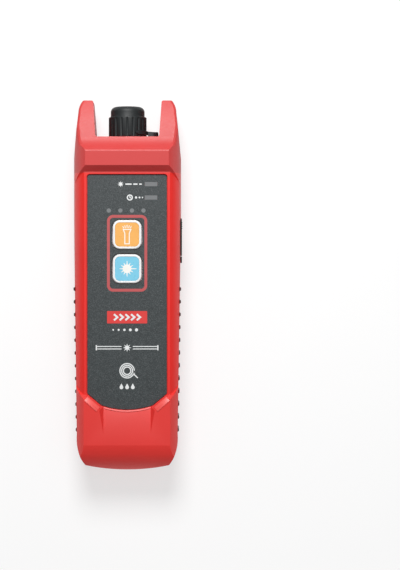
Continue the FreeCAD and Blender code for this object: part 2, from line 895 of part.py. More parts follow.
def cut_back_ends(body):
    """Curve the back up to the foot and to the prong tips."""
    start = f"{TIP} - prong_back_run"
    profile = side_sketch(body)
    draw(profile, [
        (f"{FOOT} - {BEYOND}", f"-{BEYOND}"),
        (f"{FOOT} + foot_back_run", f"-{BEYOND}"),
        (f"{FOOT} + foot_back_run", "0", "hollow", "foot_back_bow"),
        (FOOT, "foot_back_level"),
        (f"{FOOT} - {BEYOND}", "foot_back_level"),
    ])
    draw(profile, [
        (start, f"-{BEYOND}"),
        (f"{TIP} + {BEYOND}", f"-{BEYOND}"),
        (f"{TIP} + {BEYOND}", "prong_tip_back"),
        (TIP, "prong_tip_back", "hollow", "prong_back_bow"),
        (start, "0"),
    ])
    pocket(body, profile, f"2 * brow_half + {BEYOND}", middle=True)


def cut_back_sides(body):
    """Round both long edges of the back."""
    profile = front_sketch(body, "0")
    draw(profile, [
        ("back_half", f"-{BEYOND}"),
        (f"brow_half + {BEYOND}", f"-{BEYOND}"),
        (f"brow_half + {BEYOND}", "back_side_level"),
        ("brow_half", "back_side_level", "hollow", "back_bow"),
        ("back_half", "0"),
    ])
    draw(profile, [
        (f"-(brow_half + {BEYOND})", f"-{BEYOND}"),
        ("-back_half", f"-{BEYOND}"),
        ("-back_half", "0", "hollow", "back_bow"),
        ("-brow_half", "back_side_level"),
        (f"-(brow_half + {BEYOND})", "back_side_level"),
    ])
    pocket(body, profile, f"body_length + 2 * {BEYOND}", middle=True)


def add_cradles(body):
    """Two battery cradles and the laser saddle that stand on the back wall."""
    seat = "cell_radius + cell_gap"
    reach = f"sqrt(({seat})^2 - (cell_level - cradle_top)^2)"
    for y in (f"{FOOT} + cell_end_run + cradle_inset",
              f"{FOOT} + cell_end_run + cell_length - cradle_inset"):
        rib = front_sketch(body, y)
        draw(rib, [
            ("-cradle_half", "shell_wall"),
            ("cradle_half", "shell_wall"),
            ("cradle_half", "cradle_top"),
            (reach, "cradle_top", "hollow", seat),
            (f"-{reach}", "cradle_top"),
            ("-cradle_half", "cradle_top"),
        ])
        pad(body, rib, "cradle_thick")
    saddle = front_sketch(body, "notch_floor - saddle_run")
    seat = "laser_radius + saddle_gap"
    edge = "port_axis - saddle_short"
    reach = f"sqrt(({seat})^2 - saddle_short^2)"
    draw(saddle, [
        ("-saddle_half", "shell_wall"),
        ("saddle_half", "shell_wall"),
        ("saddle_half", edge),
        (reach, edge, "hollow", seat),
        (f"-{reach}", edge),
        ("-saddle_half", edge),
    ])
    pad(body, saddle, "saddle_thick")


def cut_rear_screw_holes(body):
    """Counterbored holes for the screws that hold the shells together."""
    heads = level_sketch(body, "screw_seat")
    for x, y in boss_places():
        draw_circle(heads, x, y, "screw_head_radius")
    pocket(body, heads, BEYOND)
    shanks = level_sketch(body, "parting_level")
    for x, y in boss_places():
        draw_circle(shanks, x, y, "screw_radius + screw_gap")
    pocket(body, shanks, "parting_level")


# ---------------------------------------------------------------- simple pieces


def block(name, corner, spans):
    """Make a Part box from its low corner and its three spans."""
    box = doc.addObject("Part::Box", name)
    for axis, formula in zip("xyz", corner):
        bind(box, f"Placement.Base.{axis}", formula)
    for side, formula in zip(("Length", "Width", "Height"), spans):
        bind(box, side, formula)
    return box


def rod(name, start, radius, length, along="z"):
    """Make a Part cylinder that runs along Z, or towards +Y or +X."""
    cylinder = doc.addObject("Part::Cylinder", name)
    turns = {"z": (0, 0, 0), "y": (0, 0, -90), "x": (0, 90, 0)}
    yaw, pitch, roll = turns[along]
    cylinder.Placement = FreeCAD.Placement(Vector(), FreeCAD.Rotation(yaw, pitch, roll))
    for axis, formula in zip("xyz", start):
        bind(cylinder, f"Placement.Base.{axis}", formula)
    bind(cylinder, "Radius", radius)
    bind(cylinder, "Height", length)
    return cylinder


def cut(name, base, tool):
    """Cut one Part object out of another."""
    result = doc.addObject("Part::Cut", name)
    result.Base = base
    result.Tool = tool
    return result


def axis_sketch(body, x="0", z="port_axis"):
    """Half-section sketch for turning round an axis along Y; its x is Y, its y the radius."""
    sketch = side_sketch(body, x)
    bind(sketch, "AttachmentOffset.Base.y", z)
    return sketch


# ---------------------------------------------------------------- face panel, keys and windows


def make_face_panel():
    """Overlay on the front, with holes for the keys and the windows."""
    body = new_body("face_panel")
    outline = level_sketch(body, "panel_floor")
    draw(outline, panel_corners("0"))
    pad(body, outline, "panel_thick")
    holes = level_sketch(body, "panel_floor")
    for y in ("torch_key_y", "laser_key_y"):
        well = "key_size + 2 * key_gap"
        draw(holes, box_corners("0", y, well, well, "key_round + key_gap"))
    for y in ("laser_window_y", "power_window_y"):
        draw(holes, box_corners("window_x", y, "window_long + 2 * window_gap",
                                "window_wide + 2 * window_gap"))
    pocket(body, holes, "panel_thick", turned=True)
    add_node(body, "face_panel")


def make_windows():
    """Light windows that sit on the roof and fill their holes, and the charge lights' guide."""
    for name in ("laser", "power"):
        window = block(f"{name}_window", ("window_x - window_long / 2",
                                          f"{name}_window_y - window_wide / 2", "panel_floor"),
                       ("window_long", "window_wide", "panel_thick + window_proud"))
        add_node(window, f"{name}_window")
    low = "(board_top + led_height + guide_led_gap)"
    guide = block("charge_light_guide", (f"{GUIDE_MIDDLE} - {GUIDE_LENGTH} / 2",
                                         "charge_y - guide_width / 2", low),
                  (GUIDE_LENGTH, "guide_width", f"panel_floor - {low}"))
    add_node(guide, "charge_light_guide")


def make_key(name):
    """Key cap with a flange under the roof, a pocket over its switch and a pushing stem."""
    y = f"{name}_key_y"
    body = new_body(f"{name}_key")
    cap = level_sketch(body, "key_flange_low")
    draw(cap, box_corners("0", y, "key_size", "key_size", "key_round"))
    pad(body, cap, "key_top - key_flange_low")
    trim_key_edge(body)
    flange = level_sketch(body, "key_flange_low")
    draw(flange, box_corners("0", y, "key_flange_size", "key_flange_size"))
    pad(body, flange, "key_flange_thick")
    hollow = level_sketch(body, "key_flange_low")
    draw(hollow, box_corners("0", y, "key_pocket_size", "key_pocket_size"))
    pocket(body, hollow, "key_pocket_top - key_flange_low", turned=True)
    stem = level_sketch(body, "key_pocket_top")
    draw(stem, box_corners("0", y, "key_stem_size", "key_stem_size"))
    pad(body, stem, "key_pocket_top - board_top - switch_height - plunger_rise", turned=True)
    seat = level_sketch(body, "key_top")
    inner = "key_size - 2 * key_border"
    draw(seat, box_corners("0", y, inner, inner, "key_round - key_border"))
    pocket(body, seat, "key_inlay_thick")
    add_node(body, f"{name}_key")


def trim_key_edge(body):
    """Slope the outer top edge of a key cap."""
    before = volume_of(body)
    capped = body.Tip
    top = [f"Edge{index}" for index, edge in enumerate(body.Shape.Edges, start=1)
           if edge.BoundBox.ZMin > value_of("key_top") - value_of("key_edge_cut")]
    slope = body.newObject("PartDesign::Chamfer", f"{body.Name}_chamfer")
    slope.Base = (capped, top)
    bind(slope, "Size", "key_edge_cut")
    body.Tip = slope
    changed(body, before, False, "chamfer")


def make_key_inlay(name):
    """Coloured field in the top of a key."""
    y = f"{name}_key_y"
    body = new_body(f"{name}_key_inlay")
    field = level_sketch(body, "key_top - key_inlay_thick")
    side = "key_size - 2 * key_border - 2 * key_inlay_gap"
    draw(field, box_corners("0", y, side, side, "key_round - key_border - key_inlay_gap"))
    pad(body, field, "key_inlay_thick + key_inlay_proud")
    add_node(body, f"{name}_key_inlay")


def make_switch(name):
    """Tactile switch on the board and its plunger."""
    y = f"{name}_key_y"
    top = "board_top + switch_height"
    case = block(f"{name}_switch_case", ("-switch_size / 2", f"{y} - switch_size / 2", "board_top"),
                 ("switch_size", "switch_size", "switch_height"))
    wide = "(plunger_size + 2 * plunger_gap)"
    bore = block(f"{name}_switch_bore", (f"-{wide} / 2", f"{y} - {wide} / 2",
                                         f"{top} - plunger_sunk - key_travel - plunger_room"),
                 (wide, wide, BEYOND))
    add_node(cut(f"{name}_switch", case, bore), f"{name}_switch")
    plunger = block(f"{name}_plunger", ("-plunger_size / 2", f"{y} - plunger_size / 2",
                                        f"{top} - plunger_sunk"),
                    ("plunger_size", "plunger_size", "plunger_sunk + plunger_rise"))
    add_node(plunger, f"{name}_plunger")


def make_key_mat():
    """Silicone sheet under the roof that seals round the key stems."""
    body = new_body("key_mat")
    sheet_level = "key_flange_low - key_travel - mat_gap - mat_thick"
    outline = level_sketch(body, sheet_level)
    draw(outline, box_corners("0", "keys_middle", "mat_width", "mat_length"))
    for y in ("torch_key_y", "laser_key_y"):
        draw(outline, box_corners("0", y, "key_pocket_size", "key_pocket_size"))
    pad(body, outline, "mat_thick")
    walls = level_sketch(body, "board_top")
    draw(walls, box_corners("0", "keys_middle", "mat_width", "mat_length"))
    draw(walls, box_corners("0", "keys_middle", "mat_width - 2 * mat_thick",
                            "mat_length - 2 * mat_thick"))
    pad(body, walls, f"{sheet_level} - board_top")
    add_node(body, "key_mat")


# ---------------------------------------------------------------- main board


def make_board():
    """Main board with a notch for the laser."""
    body = new_body("main_board")
    outline = level_sketch(body, "board_under")
    right = [
        ("board_half", "board_near"),
        ("board_half", "board_far"),
        ("board_notch_half", "board_far"),
        ("board_notch_half", "board_notch_start"),
    ]
    draw(outline, mirrored(right))
    pad(body, outline, "board_thick")
    add_node(body, "main_board")


def make_board_parts():
    """Chips, inductor and indicator lights on the board, and the battery connector below."""
    chips = [
        ("controller_chip", "post_inset - board_half", "keys_middle",
         "chip_size", "chip_size", "chip_height"),
        ("charger_chip", "board_half - charger_inset", "socket_y",
         "charger_length", "charger_width", "chip_height"),
        ("inductor", "inductor_inset - board_half", "keys_middle + inductor_run",
         "inductor_size", "inductor_size", "inductor_height"),
    ]
    lights = [("window_x", "laser_window_y"), ("window_x", "power_window_y")]
    lights += [(f"(charge_pitch * {i} - charge_first_x)", "charge_y") for i in range(4)]
    for i, (x, y) in enumerate(lights, start=1):
        chips.append((f"indicator_led_{i}", x, y, "led_size", "led_size", "led_height"))
    for name, x, y, wide, deep, high in chips:
        chip = block(name, (f"{x} - {wide} / 2", f"{y} - {deep} / 2", "board_top"), (wide, deep, high))
        add_node(chip, name)
    plug = block("battery_connector", ("-connector_width / 2", "board_near",
                                       "board_under - connector_height"),
                 ("connector_width", "connector_depth", "connector_height"))
    add_node(plug, "battery_connector")


def socket_corners(inset):
    """Corners of the connector's mouth, with its two lower corners cut off."""
    half = f"(socket_width / 2 - {inset})"
    low = f"({PORT_LEVEL} - socket_height / 2 + {inset})"
    high = f"({PORT_LEVEL} + socket_height / 2 - {inset})"
    key = f"(socket_key - {inset} / 2)"
    return [
        (f"socket_y - {half} + {key}", low),
        (f"socket_y + {half} - {key}", low),
        (f"socket_y + {half}", f"{low} + {key}"),
        (f"socket_y + {half}", high),
        (f"socket_y - {half}", high),
        (f"socket_y - {half}", f"{low} + {key}"),
    ]


def make_charging_socket():
    """Micro connector shell under the board, open to the right, with its tongue."""
    body = new_body("usb_socket_shell")
    mouth = "(brow_half - shell_wall - socket_mouth_gap)"
    profile = side_sketch(body, f"{mouth} - socket_depth")
    draw(profile, socket_corners("0"))
    pad(body, profile, "socket_depth")
    inside = side_sketch(body, mouth)
    draw(inside, socket_corners("socket_wall"))
    pocket(body, inside, "socket_depth - socket_wall")
    add_node(body, "usb_socket_shell")
    tongue = block("usb_socket_tongue",
                   (f"{mouth} - socket_depth + socket_wall", "socket_y - tongue_width / 2",
                    f"{PORT_LEVEL} - tongue_height / 2"),
                   ("tongue_length", "tongue_width", "tongue_height"))
    add_node(tongue, "usb_socket_tongue")


def make_port_cover():
    """Rubber cover over the charging port, and the tail that anchors it to the wall."""
    floor = "(brow_half - cover_sunk + cover_skin)"
    outer = "(brow_half + cover_proud)"
    cover = new_body("port_cover")
    plate = side_sketch(cover, floor)
    draw(plate, [
        ("cover_start", f"{PORT_LEVEL} - cover_height / 2"),
        ("cover_start + cover_length", f"{PORT_LEVEL} - cover_height / 2", "round", "cover_round"),
        ("cover_start + cover_length", f"{PORT_LEVEL} + cover_height / 2", "round", "cover_round"),
        ("cover_start", f"{PORT_LEVEL} + cover_height / 2"),
    ])
    pad(cover, plate, f"{outer} - {floor}")
    plug = side_sketch(cover, floor)
    draw(plug, box_corners("socket_y", PORT_LEVEL, "port_width - 2 * cover_plug_gap",
                           "port_height - 2 * cover_plug_gap"))
    pad(cover, plug, "cover_plug_length", turned=True)
    add_node(cover, "port_cover")
    tail = new_body("port_cover_tail")
    end = "(cover_start - cover_gap)"
    strip = side_sketch(tail, floor)
    draw(strip, [
        (end, f"{PORT_LEVEL} + cover_height / 2"),
        (f"{end} - cover_tail_length", f"{PORT_LEVEL} + cover_height / 2", "round", "cover_round"),
        (f"{end} - cover_tail_length", f"{PORT_LEVEL} - cover_height / 2", "round", "cover_round"),
        (end, f"{PORT_LEVEL} - cover_height / 2"),
    ])
    pad(tail, strip, f"{outer} - {floor}")
    peg = side_sketch(tail, floor)
    draw(peg, box_corners(f"{end} - cover_tail_length / 2", PORT_LEVEL, "cover_tail_peg",
                          "cover_tail_peg"))
    pad(tail, peg, "shell_wall", turned=True)
    add_node(tail, "port_cover_tail")


# ---------------------------------------------------------------- battery


def make_battery():
    """Rechargeable cell in its cradles, its end tab and the foam above it."""
    start = f"({FOOT} + cell_end_run)"
    cell = rod("battery_cell", ("0", start, "cell_level"), "cell_radius", "cell_length", "y")
    add_node(cell, "battery_cell")
    tab = block("battery_terminal", ("-cell_tab_width / 2", f"{start} + cell_length",
                                     "cell_level - cell_tab_height / 2"),
                ("cell_tab_width", "cell_tab_thick", "cell_tab_height"))
    add_node(tab, "battery_terminal")
    under_foam = "(cell_level + cell_radius + foam_gap)"
    foam = block("battery_foam", ("-foam_width / 2", f"{start} + (cell_length - foam_length) / 2",
                                  under_foam),
                 ("foam_width", "foam_length", f"roof_level - {under_foam}"))
    add_node(foam, "battery_foam")


# ---------------------------------------------------------------- laser and adapter


def make_laser():
    """Brass laser tube behind the adapter flange, with its diode and rod lens in one bore."""
    back = "(notch_floor - shell_wall - flange_gap - flange_thick - laser_length)"
    tube = cut("laser_housing",
               rod("laser_outside", ("0", back, "port_axis"), "laser_radius", "laser_length", "y"),
               rod("laser_inside", ("0", f"{back} - {BEYOND}", "port_axis"), "laser_bore + pilot_gap",
                   f"laser_length + 2 * {BEYOND}", "y"))
    add_node(tube, "laser_housing")
    diode = rod("laser_diode", ("0", f"{back} + diode_sunk", "port_axis"), "laser_bore",
                "diode_length", "y")
    add_node(diode, "laser_diode")
    lens = rod("laser_lens", ("0", f"{back} + lens_place", "port_axis"), "laser_bore", "lens_thick", "y")
    add_node(lens, "laser_lens")


def make_adapter():
    """Metal adapter with its flange inside the wall, its nose outside and the ceramic sleeve."""
    back = "(notch_floor - shell_wall - flange_gap - flange_thick)"
    nose = "(notch_floor + nose_reach)"
    seat = "(ferrule_bore + sleeve_wall)"
    body = new_body("adapter_barrel")
    section = axis_sketch(body)
    draw(section, [
        (back, "beam_radius"),
        (f"{nose} - sleeve_length", "beam_radius"),
        (f"{nose} - sleeve_length", seat),
        (nose, seat),
        (nose, "nose_radius"),
        ("notch_floor - shell_wall - flange_gap", "nose_radius"),
        ("notch_floor - shell_wall - flange_gap", "flange_radius"),
        (back, "flange_radius"),
    ])
    spin(body, section)
    add_node(body, "adapter_barrel")
    sleeve = cut("ferrule_sleeve",
                 rod("sleeve_outside", ("0", f"{nose} - sleeve_length", "port_axis"), seat,
                     "sleeve_length", "y"),
                 rod("sleeve_inside", ("0", f"{nose} - sleeve_length - {BEYOND}", "port_axis"),
                     "ferrule_bore", f"sleeve_length + 2 * {BEYOND}", "y"))
    add_node(sleeve, "ferrule_sleeve")


# ---------------------------------------------------------------- dust cap and strap


def make_dust_cap():
    """Dust cap turned round the port axis, with grip flutes round its skirt."""
    start = "(notch_floor + cap_start_gap)"
    step = "(notch_floor + cap_step + cap_start_gap)"
    end = "(notch_floor + cap_start_gap + cap_height)"
    bore = "(nose_radius + cap_bore_gap)"
    roof = "(notch_floor + nose_reach + cap_roof_gap)"
    body = new_body("dust_cap")
    section = axis_sketch(body)
    draw(section, [
        (roof, "0"),
        (end, "0"),
        (end, "cap_crown_radius - cap_slope"),
        (f"{end} - cap_slope", "cap_crown_radius"),
        (step, "cap_crown_radius"),
        (step, "cap_radius"),
        (start, "cap_radius"),
        (start, bore),
        (roof, bore),
    ])
    spin(body, section)
    flute = front_sketch(body, start)
    rim = "(port_axis + cap_radius + flute_depth)"
    draw(flute, [("0", "port_axis + cap_radius - flute_depth"), ("2 * flute_half", rim),
                 ("-2 * flute_half", rim)])
    groove = pocket(body, flute, "flute_length")
    before = volume_of(body)
    ring = body.newObject("PartDesign::PolarPattern", "dust_cap_ring")
    ring.Originals = [groove]
    ring.Axis = (section, ["H_Axis"])
    ring.Angle = 360.0
    bind(ring, "Occurrences", "flute_count")
    body.Tip = ring
    changed(body, before, False, "ring of flutes")
    add_node(body, "dust_cap")


def make_cap_strap():
    """Soft strap that ties the cap to the end wall, with a peg through the wall."""
    body = new_body("cap_strap")
    start = "(notch_floor + cap_start_gap)"
    left = "(cap_radius + strap_gap)"
    right = "(notch_base_half - strap_gap)"
    low = "(strap_top - strap_thick)"
    band = front_sketch(body, start)
    draw(band, [
        (left, low),
        (f"{right} - strap_thick", low, "round", "strap_thick / 2"),
        (f"{right} - strap_thick", "strap_foot_level"),
        (right, "strap_foot_level"),
        (right, "strap_top", "round", "strap_thick"),
        (left, "strap_top"),
    ])
    pad(body, band, "strap_height", turned=True)
    foot = front_sketch(body, start)
    draw(foot, box_corners("strap_foot_x", "strap_foot_level", "strap_foot_size", "strap_foot_size"))
    pad(body, foot, "strap_height / 2", turned=True)
    peg = front_sketch(body, start)
    draw(peg, box_corners("strap_foot_x", "strap_foot_level", "strap_peg_size", "strap_peg_size"))
    pad(body, peg, "strap_peg_length")
    add_node(body, "cap_strap")


# ---------------------------------------------------------------- torch


def make_torch():
    """White torch lamp behind a bezel in the end wall."""
    front = "notch_floor - bezel_depth"
    lamp = new_body("torch_led")
    section = axis_sketch(lamp, "-torch_x", "torch_level")
    draw(section, [
        (f"{front} - torch_length", "0"),
        (front, "0"),
        (front, "torch_face_half"),
        (f"{front} - torch_dome_step", "torch_dome_half"),
        (f"{front} - torch_dome_run", "torch_radius"),
        (f"{front} - torch_length", "torch_radius"),
    ])
    spin(lamp, section)
    add_node(lamp, "torch_led")
    bezel = cut("torch_bezel",
                rod("bezel_outside", ("-torch_x", front, "torch_level"), "bezel_radius",
                    "bezel_depth", "y"),
                rod("bezel_inside", ("-torch_x", f"{front} - {BEYOND}", "torch_level"),
                    "torch_radius", f"2 * {BEYOND}", "y"))
    add_node(bezel, "torch_bezel")


# ---------------------------------------------------------------- whole model


def build():
    """Make every sub-part of the locator."""
    make_front_housing()
    make_rear_housing()
    make_face_panel()
    make_windows()
    for name in ("torch", "laser"):
        make_key(name)
        make_key_inlay(name)
        make_switch(name)
    make_key_mat()
    make_board()
    make_board_parts()
    make_charging_socket()
    make_port_cover()
    make_battery()
    make_laser()
    make_adapter()
    make_dust_cap()
    make_cap_strap()
    make_torch()
    doc.recompute()


def check_all():
    """Stop if anything in the document failed or a sub-part has no valid solid."""
    for thing in doc.Objects:
        if "Invalid" in thing.State or "Error" in thing.State:
            raise RuntimeError(f"{thing.Label} failed: {thing.State}")
    for node in nodes:
        shape = node.Shape
        if shape.isNull() or not shape.isValid() or shape.Volume <= 0 or not shape.Solids:
            raise RuntimeError(f"{node.Label} has no valid solid")


def write_parts():
    """Write every sub-part as a STEP file named after its node."""
    os.makedirs(OUT_FOLDER, exist_ok=True)
    for node in nodes:
        node.Shape.exportStep(f"{OUT_FOLDER}/{node.Label}.step")


fill_sheet()
build()
check_all()
write_parts()
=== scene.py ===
"""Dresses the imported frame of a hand-held visual fault locator.

Shells, keys and caps keep their solid shapes and get softened edges and moulded finishes. Printed marks,
the cap's soft strap, solder joints and other small repeated pieces are made here.
"""
import json
import logging
import math
from abc import ABC, abstractmethod
from dataclasses import dataclass
from enum import Enum

import bmesh
import bpy
from bmesh.types import BMEdge, BMesh, BMVert
from bpy.types import Mesh, Node, NodeOutputs, Object
from bpy.types import NodeSocket as Socket
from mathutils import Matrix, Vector
from mathutils.bvhtree import BVHTree


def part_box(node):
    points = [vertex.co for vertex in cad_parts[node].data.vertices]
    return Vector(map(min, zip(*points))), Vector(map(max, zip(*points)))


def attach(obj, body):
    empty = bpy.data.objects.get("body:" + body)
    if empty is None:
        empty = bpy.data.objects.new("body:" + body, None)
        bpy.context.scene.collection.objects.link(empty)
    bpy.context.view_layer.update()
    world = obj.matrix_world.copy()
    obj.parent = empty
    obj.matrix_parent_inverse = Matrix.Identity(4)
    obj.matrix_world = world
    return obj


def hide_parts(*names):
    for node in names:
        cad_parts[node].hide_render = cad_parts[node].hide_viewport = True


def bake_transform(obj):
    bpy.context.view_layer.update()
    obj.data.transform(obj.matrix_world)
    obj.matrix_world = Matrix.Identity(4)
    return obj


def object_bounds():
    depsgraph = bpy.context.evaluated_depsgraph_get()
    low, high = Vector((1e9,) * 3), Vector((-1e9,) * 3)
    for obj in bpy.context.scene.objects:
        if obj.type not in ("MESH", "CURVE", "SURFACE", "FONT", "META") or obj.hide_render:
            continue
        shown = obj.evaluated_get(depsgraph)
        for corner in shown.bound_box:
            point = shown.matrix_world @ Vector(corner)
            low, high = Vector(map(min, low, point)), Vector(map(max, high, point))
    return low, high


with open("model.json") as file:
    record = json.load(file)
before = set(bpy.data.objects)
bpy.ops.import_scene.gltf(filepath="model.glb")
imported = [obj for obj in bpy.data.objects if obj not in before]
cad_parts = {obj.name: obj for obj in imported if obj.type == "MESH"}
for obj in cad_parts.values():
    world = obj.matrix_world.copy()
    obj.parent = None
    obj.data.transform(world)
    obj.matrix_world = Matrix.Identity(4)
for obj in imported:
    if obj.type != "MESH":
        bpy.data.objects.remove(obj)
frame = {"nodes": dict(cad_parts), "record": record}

logging.basicConfig(level=logging.INFO, format="%(name)s: %(message)s")
LOG = logging.getLogger("fault_locator")

MM = 0.001
Point = tuple[float, float]
Three = tuple[float, float, float]
Colour = Three
CAD_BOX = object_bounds()


class Body(Enum):
    """Rigid bodies of the frame."""

    CASE = "case"
    TORCH_KEY = "torch_key"
    LASER_KEY = "laser_key"
    PORT_COVER = "port_cover"
    DUST_CAP = "dust_cap"


# ---------------------------------------------------------------- finishes


class NodeTree:
    """Adds nodes to a tree and links them."""

    def __init__(self, tree: bpy.types.NodeTree) -> None:
        """Keep the tree that is built."""
        self.tree = tree

    def add(self, kind: str, inputs: dict[str | int, object] | None = None, **options: object) -> Node:
        """Add a node.

        Args:
            kind: Its kind.
            inputs: Sockets or plain values for its inputs, by name or place.
            **options: Its own options, which are set first.

        Returns:
            The node.
        """
        node = self.tree.nodes.new(kind)
        for name, option in options.items():
            setattr(node, name, option)
        for name, value in (inputs or {}).items():
            self.feed(node.inputs[name], value)
        return node

    def feed(self, target: Socket, value: object) -> None:
        """Link or set an input.

        Args:
            target: The input.
            value: Socket that it is linked to, or its plain value.
        """
        if isinstance(value, Socket):
            self.tree.links.new(value, target)
        else:
            target.default_value = value

    def math(self, operation: str, *terms: float | Socket) -> Socket:
        """Work out one value from numbers and sockets."""
        return self.add("ShaderNodeMath", dict(enumerate(terms)), operation=operation).outputs["Value"]


class Shader(NodeTree):
    """Builds one material's node tree round a Principled shader."""

    def __init__(self, name: str) -> None:
        """Start an empty tree.

        Args:
            name: Name of the material.
        """
        self.material = bpy.data.materials.new(name)
        self.material.use_nodes = True
        super().__init__(self.material.node_tree)
        self.tree.nodes.clear()
        self.shader = self.add("ShaderNodeBsdfPrincipled")
        self.output = self.add("ShaderNodeOutputMaterial", {"Surface": self.shader.outputs["BSDF"]})
        self.place = self.add("ShaderNodeTexCoord").outputs["Object"]

    def set(self, **values: object) -> None:
        """Set or drive the shader's own sockets; an underscore in a name stands for a space."""
        for name, value in values.items():
            self.feed(self.shader.inputs[name.replace("_", " ")], value)

    def noise(self, grain: float, detail: float = 2.0, stretch: Three = (1, 1, 1)) -> Socket:
        """Noise over the piece.

        Args:
            grain: Size of one feature in metres.
            detail: Octaves of finer noise.
            stretch: How many times finer the noise is along each axis.

        Returns:
            A socket from 0 to 1.
        """
        place = self.add("ShaderNodeMapping", {"Vector": self.place, "Scale": stretch}).outputs["Vector"]
        texture = self.add("ShaderNodeTexNoise", {"Vector": place, "Scale": 1 / grain, "Detail": detail})
        return texture.outputs["Fac"]

    def spread(self, value: Socket, low: float = 0.3, high: float = 0.7, start: float = 0.0,
               end: float = 1.0) -> Socket:
        """Map a value from low..high, by default the range that noise fills, to start..end.

        Args:
            value: Socket to map.
            low: Input that gives start.
            high: Input that gives end.
            start: First output.
            end: Last output.

        Returns:
            The mapped socket.
        """
        ends = {"Value": value, "From Min": low, "From Max": high, "To Min": start, "To Max": end}
        return self.add("ShaderNodeMapRange", ends).outputs["Result"]

    def mix(self, factor: Socket, first: Colour | Socket, second: Colour) -> Socket:
        """Mix two colours by a factor.

        Args:
            factor: Socket that gives 0 for the first and 1 for the second.
            first: Colour, or the socket of one.
            second: Colour.

        Returns:
            The mixed colour.
        """
        start = first if isinstance(first, Socket) else (*first, 1)
        mixer = self.add("ShaderNodeMix", {"Factor": factor, "A": start, "B": (*second, 1)}, data_type="RGBA")
        return mixer.outputs["Result"]

    def tint(self, factor: Socket, colour: Colour, low: float, high: float) -> Socket:
        """Let a colour's brightness wander between two shares of itself."""
        return self.mix(factor, shade(colour, low), shade(colour, high))

    def bump(self, height: Socket, depth: float) -> None:
        """Give the surface relief of a depth in metres."""
        relief = self.add("ShaderNodeBump", {"Height": height, "Distance": depth})
        self.set(Normal=relief.outputs["Normal"])


def shade(colour: Colour, by: float) -> Colour:
    """Darken or lighten a colour by a factor."""
    return tuple(min(1.0, channel * by) for channel in colour)


@dataclass(frozen=True)
class Finish(ABC):
    """One surface finish.

    Attributes:
        name: Name of its material.
        colour: Main linear colour.
    """

    name: str
    colour: Colour

    def material(self) -> bpy.types.Material:
        """Find the finish's material, or make it on first use.

        Returns:
            The material.
        """
        made = bpy.data.materials.get(self.name)
        if made is None:
            shader = Shader(self.name)
            self.weave(shader)
            made = shader.material
        return made

    @abstractmethod
    def weave(self, shader: Shader) -> None:
        """Build the node tree."""


@dataclass(frozen=True)
class Moulded(Finish):
    """Moulded plastic or rubber with a fine spark-eroded grain.

    Attributes:
        rough: Mean roughness.
        uneven: How far the roughness wanders.
        grain: Size of the grain in metres.
        relief: Depth of the grain in metres.
        mottle: Share by which the colour wanders.
        drift: Size in metres of a stretch of one colour.
    """

    rough: float = 0.45
    uneven: float = 0.06
    grain: float = 0.00035
    relief: float = 0.00001
    mottle: float = 0.05
    drift: float = 0.02

    def weave(self, shader: Shader) -> None:
        """Slow colour drift, fine grain and uneven gloss.

        Args:
            shader: Builder of the node tree.
        """
        drift = shader.spread(shader.noise(self.drift, 3))
        shader.set(Base_Color=shader.tint(drift, self.colour, 1 - self.mottle, 1 + self.mottle),
                   Roughness=self.grain_over(shader))

    def grain_over(self, shader: Shader) -> Socket:
        """Give the surface its grain.

        Args:
            shader: Builder of the node tree.

        Returns:
            The roughness that goes with the grain.
        """
        grain = shader.noise(self.grain)
        shader.bump(grain, self.relief)
        return shader.spread(grain, start=self.rough - self.uneven, end=self.rough + self.uneven)


@dataclass(frozen=True)
class ShellWithPaintedLight(Moulded):
    """Moulded shell whose brow and bumper carry painted light: their colours stand for how light falls there,
    and they are rougher.

    Attributes:
        brow_painted_light: Colour painted on the brow and the prongs, a duller, paler red that stands for how
            light falls there.
        bumper_painted_light: Colour painted on the bumper, a paler red that stands for how light falls there.
        brow: Where the brow's painted light starts along Y.
        bumper: Where the bumper's painted light ends along Y.
        seam: Width over which one colour gives way to the other.
        duller: How much rougher the brow and the bumper are.
    """

    brow_painted_light: Colour = (0.55, 0.036, 0.034)
    bumper_painted_light: Colour = (0.70, 0.030, 0.024)
    brow: float = 0.0452
    bumper: float = -0.0442
    seam: float = 0.0002
    duller: float = 0.08

    def weave(self, shader: Shader) -> None:
        """Shell colour, with painted light on the brow and the bumper, which are rougher.

        Args:
            shader: Builder of the node tree.
        """
        along = shader.add("ShaderNodeSeparateXYZ", {"Vector": shader.place}).outputs["Y"]
        above = shader.spread(along, self.brow, self.brow + self.seam)
        below = shader.spread(along, self.bumper, self.bumper - self.seam)
        # Painted light: the brow and the bumper take colours that stand for how light falls on them.
        tint = shader.mix(below, shader.mix(above, self.colour, self.brow_painted_light), self.bumper_painted_light)
        drift = shader.spread(shader.noise(self.drift, 3), start=1 - self.mottle, end=1 + self.mottle)
        vary = shader.add("ShaderNodeVectorMath", {"Vector": tint}, operation="SCALE")
        shader.feed(vary.inputs["Scale"], drift)
        covered = shader.math("MAXIMUM", above, below)
        shader.set(Base_Color=vary.outputs["Vector"],
                   Roughness=shader.math("MULTIPLY_ADD", covered, self.duller, self.grain_over(shader)))


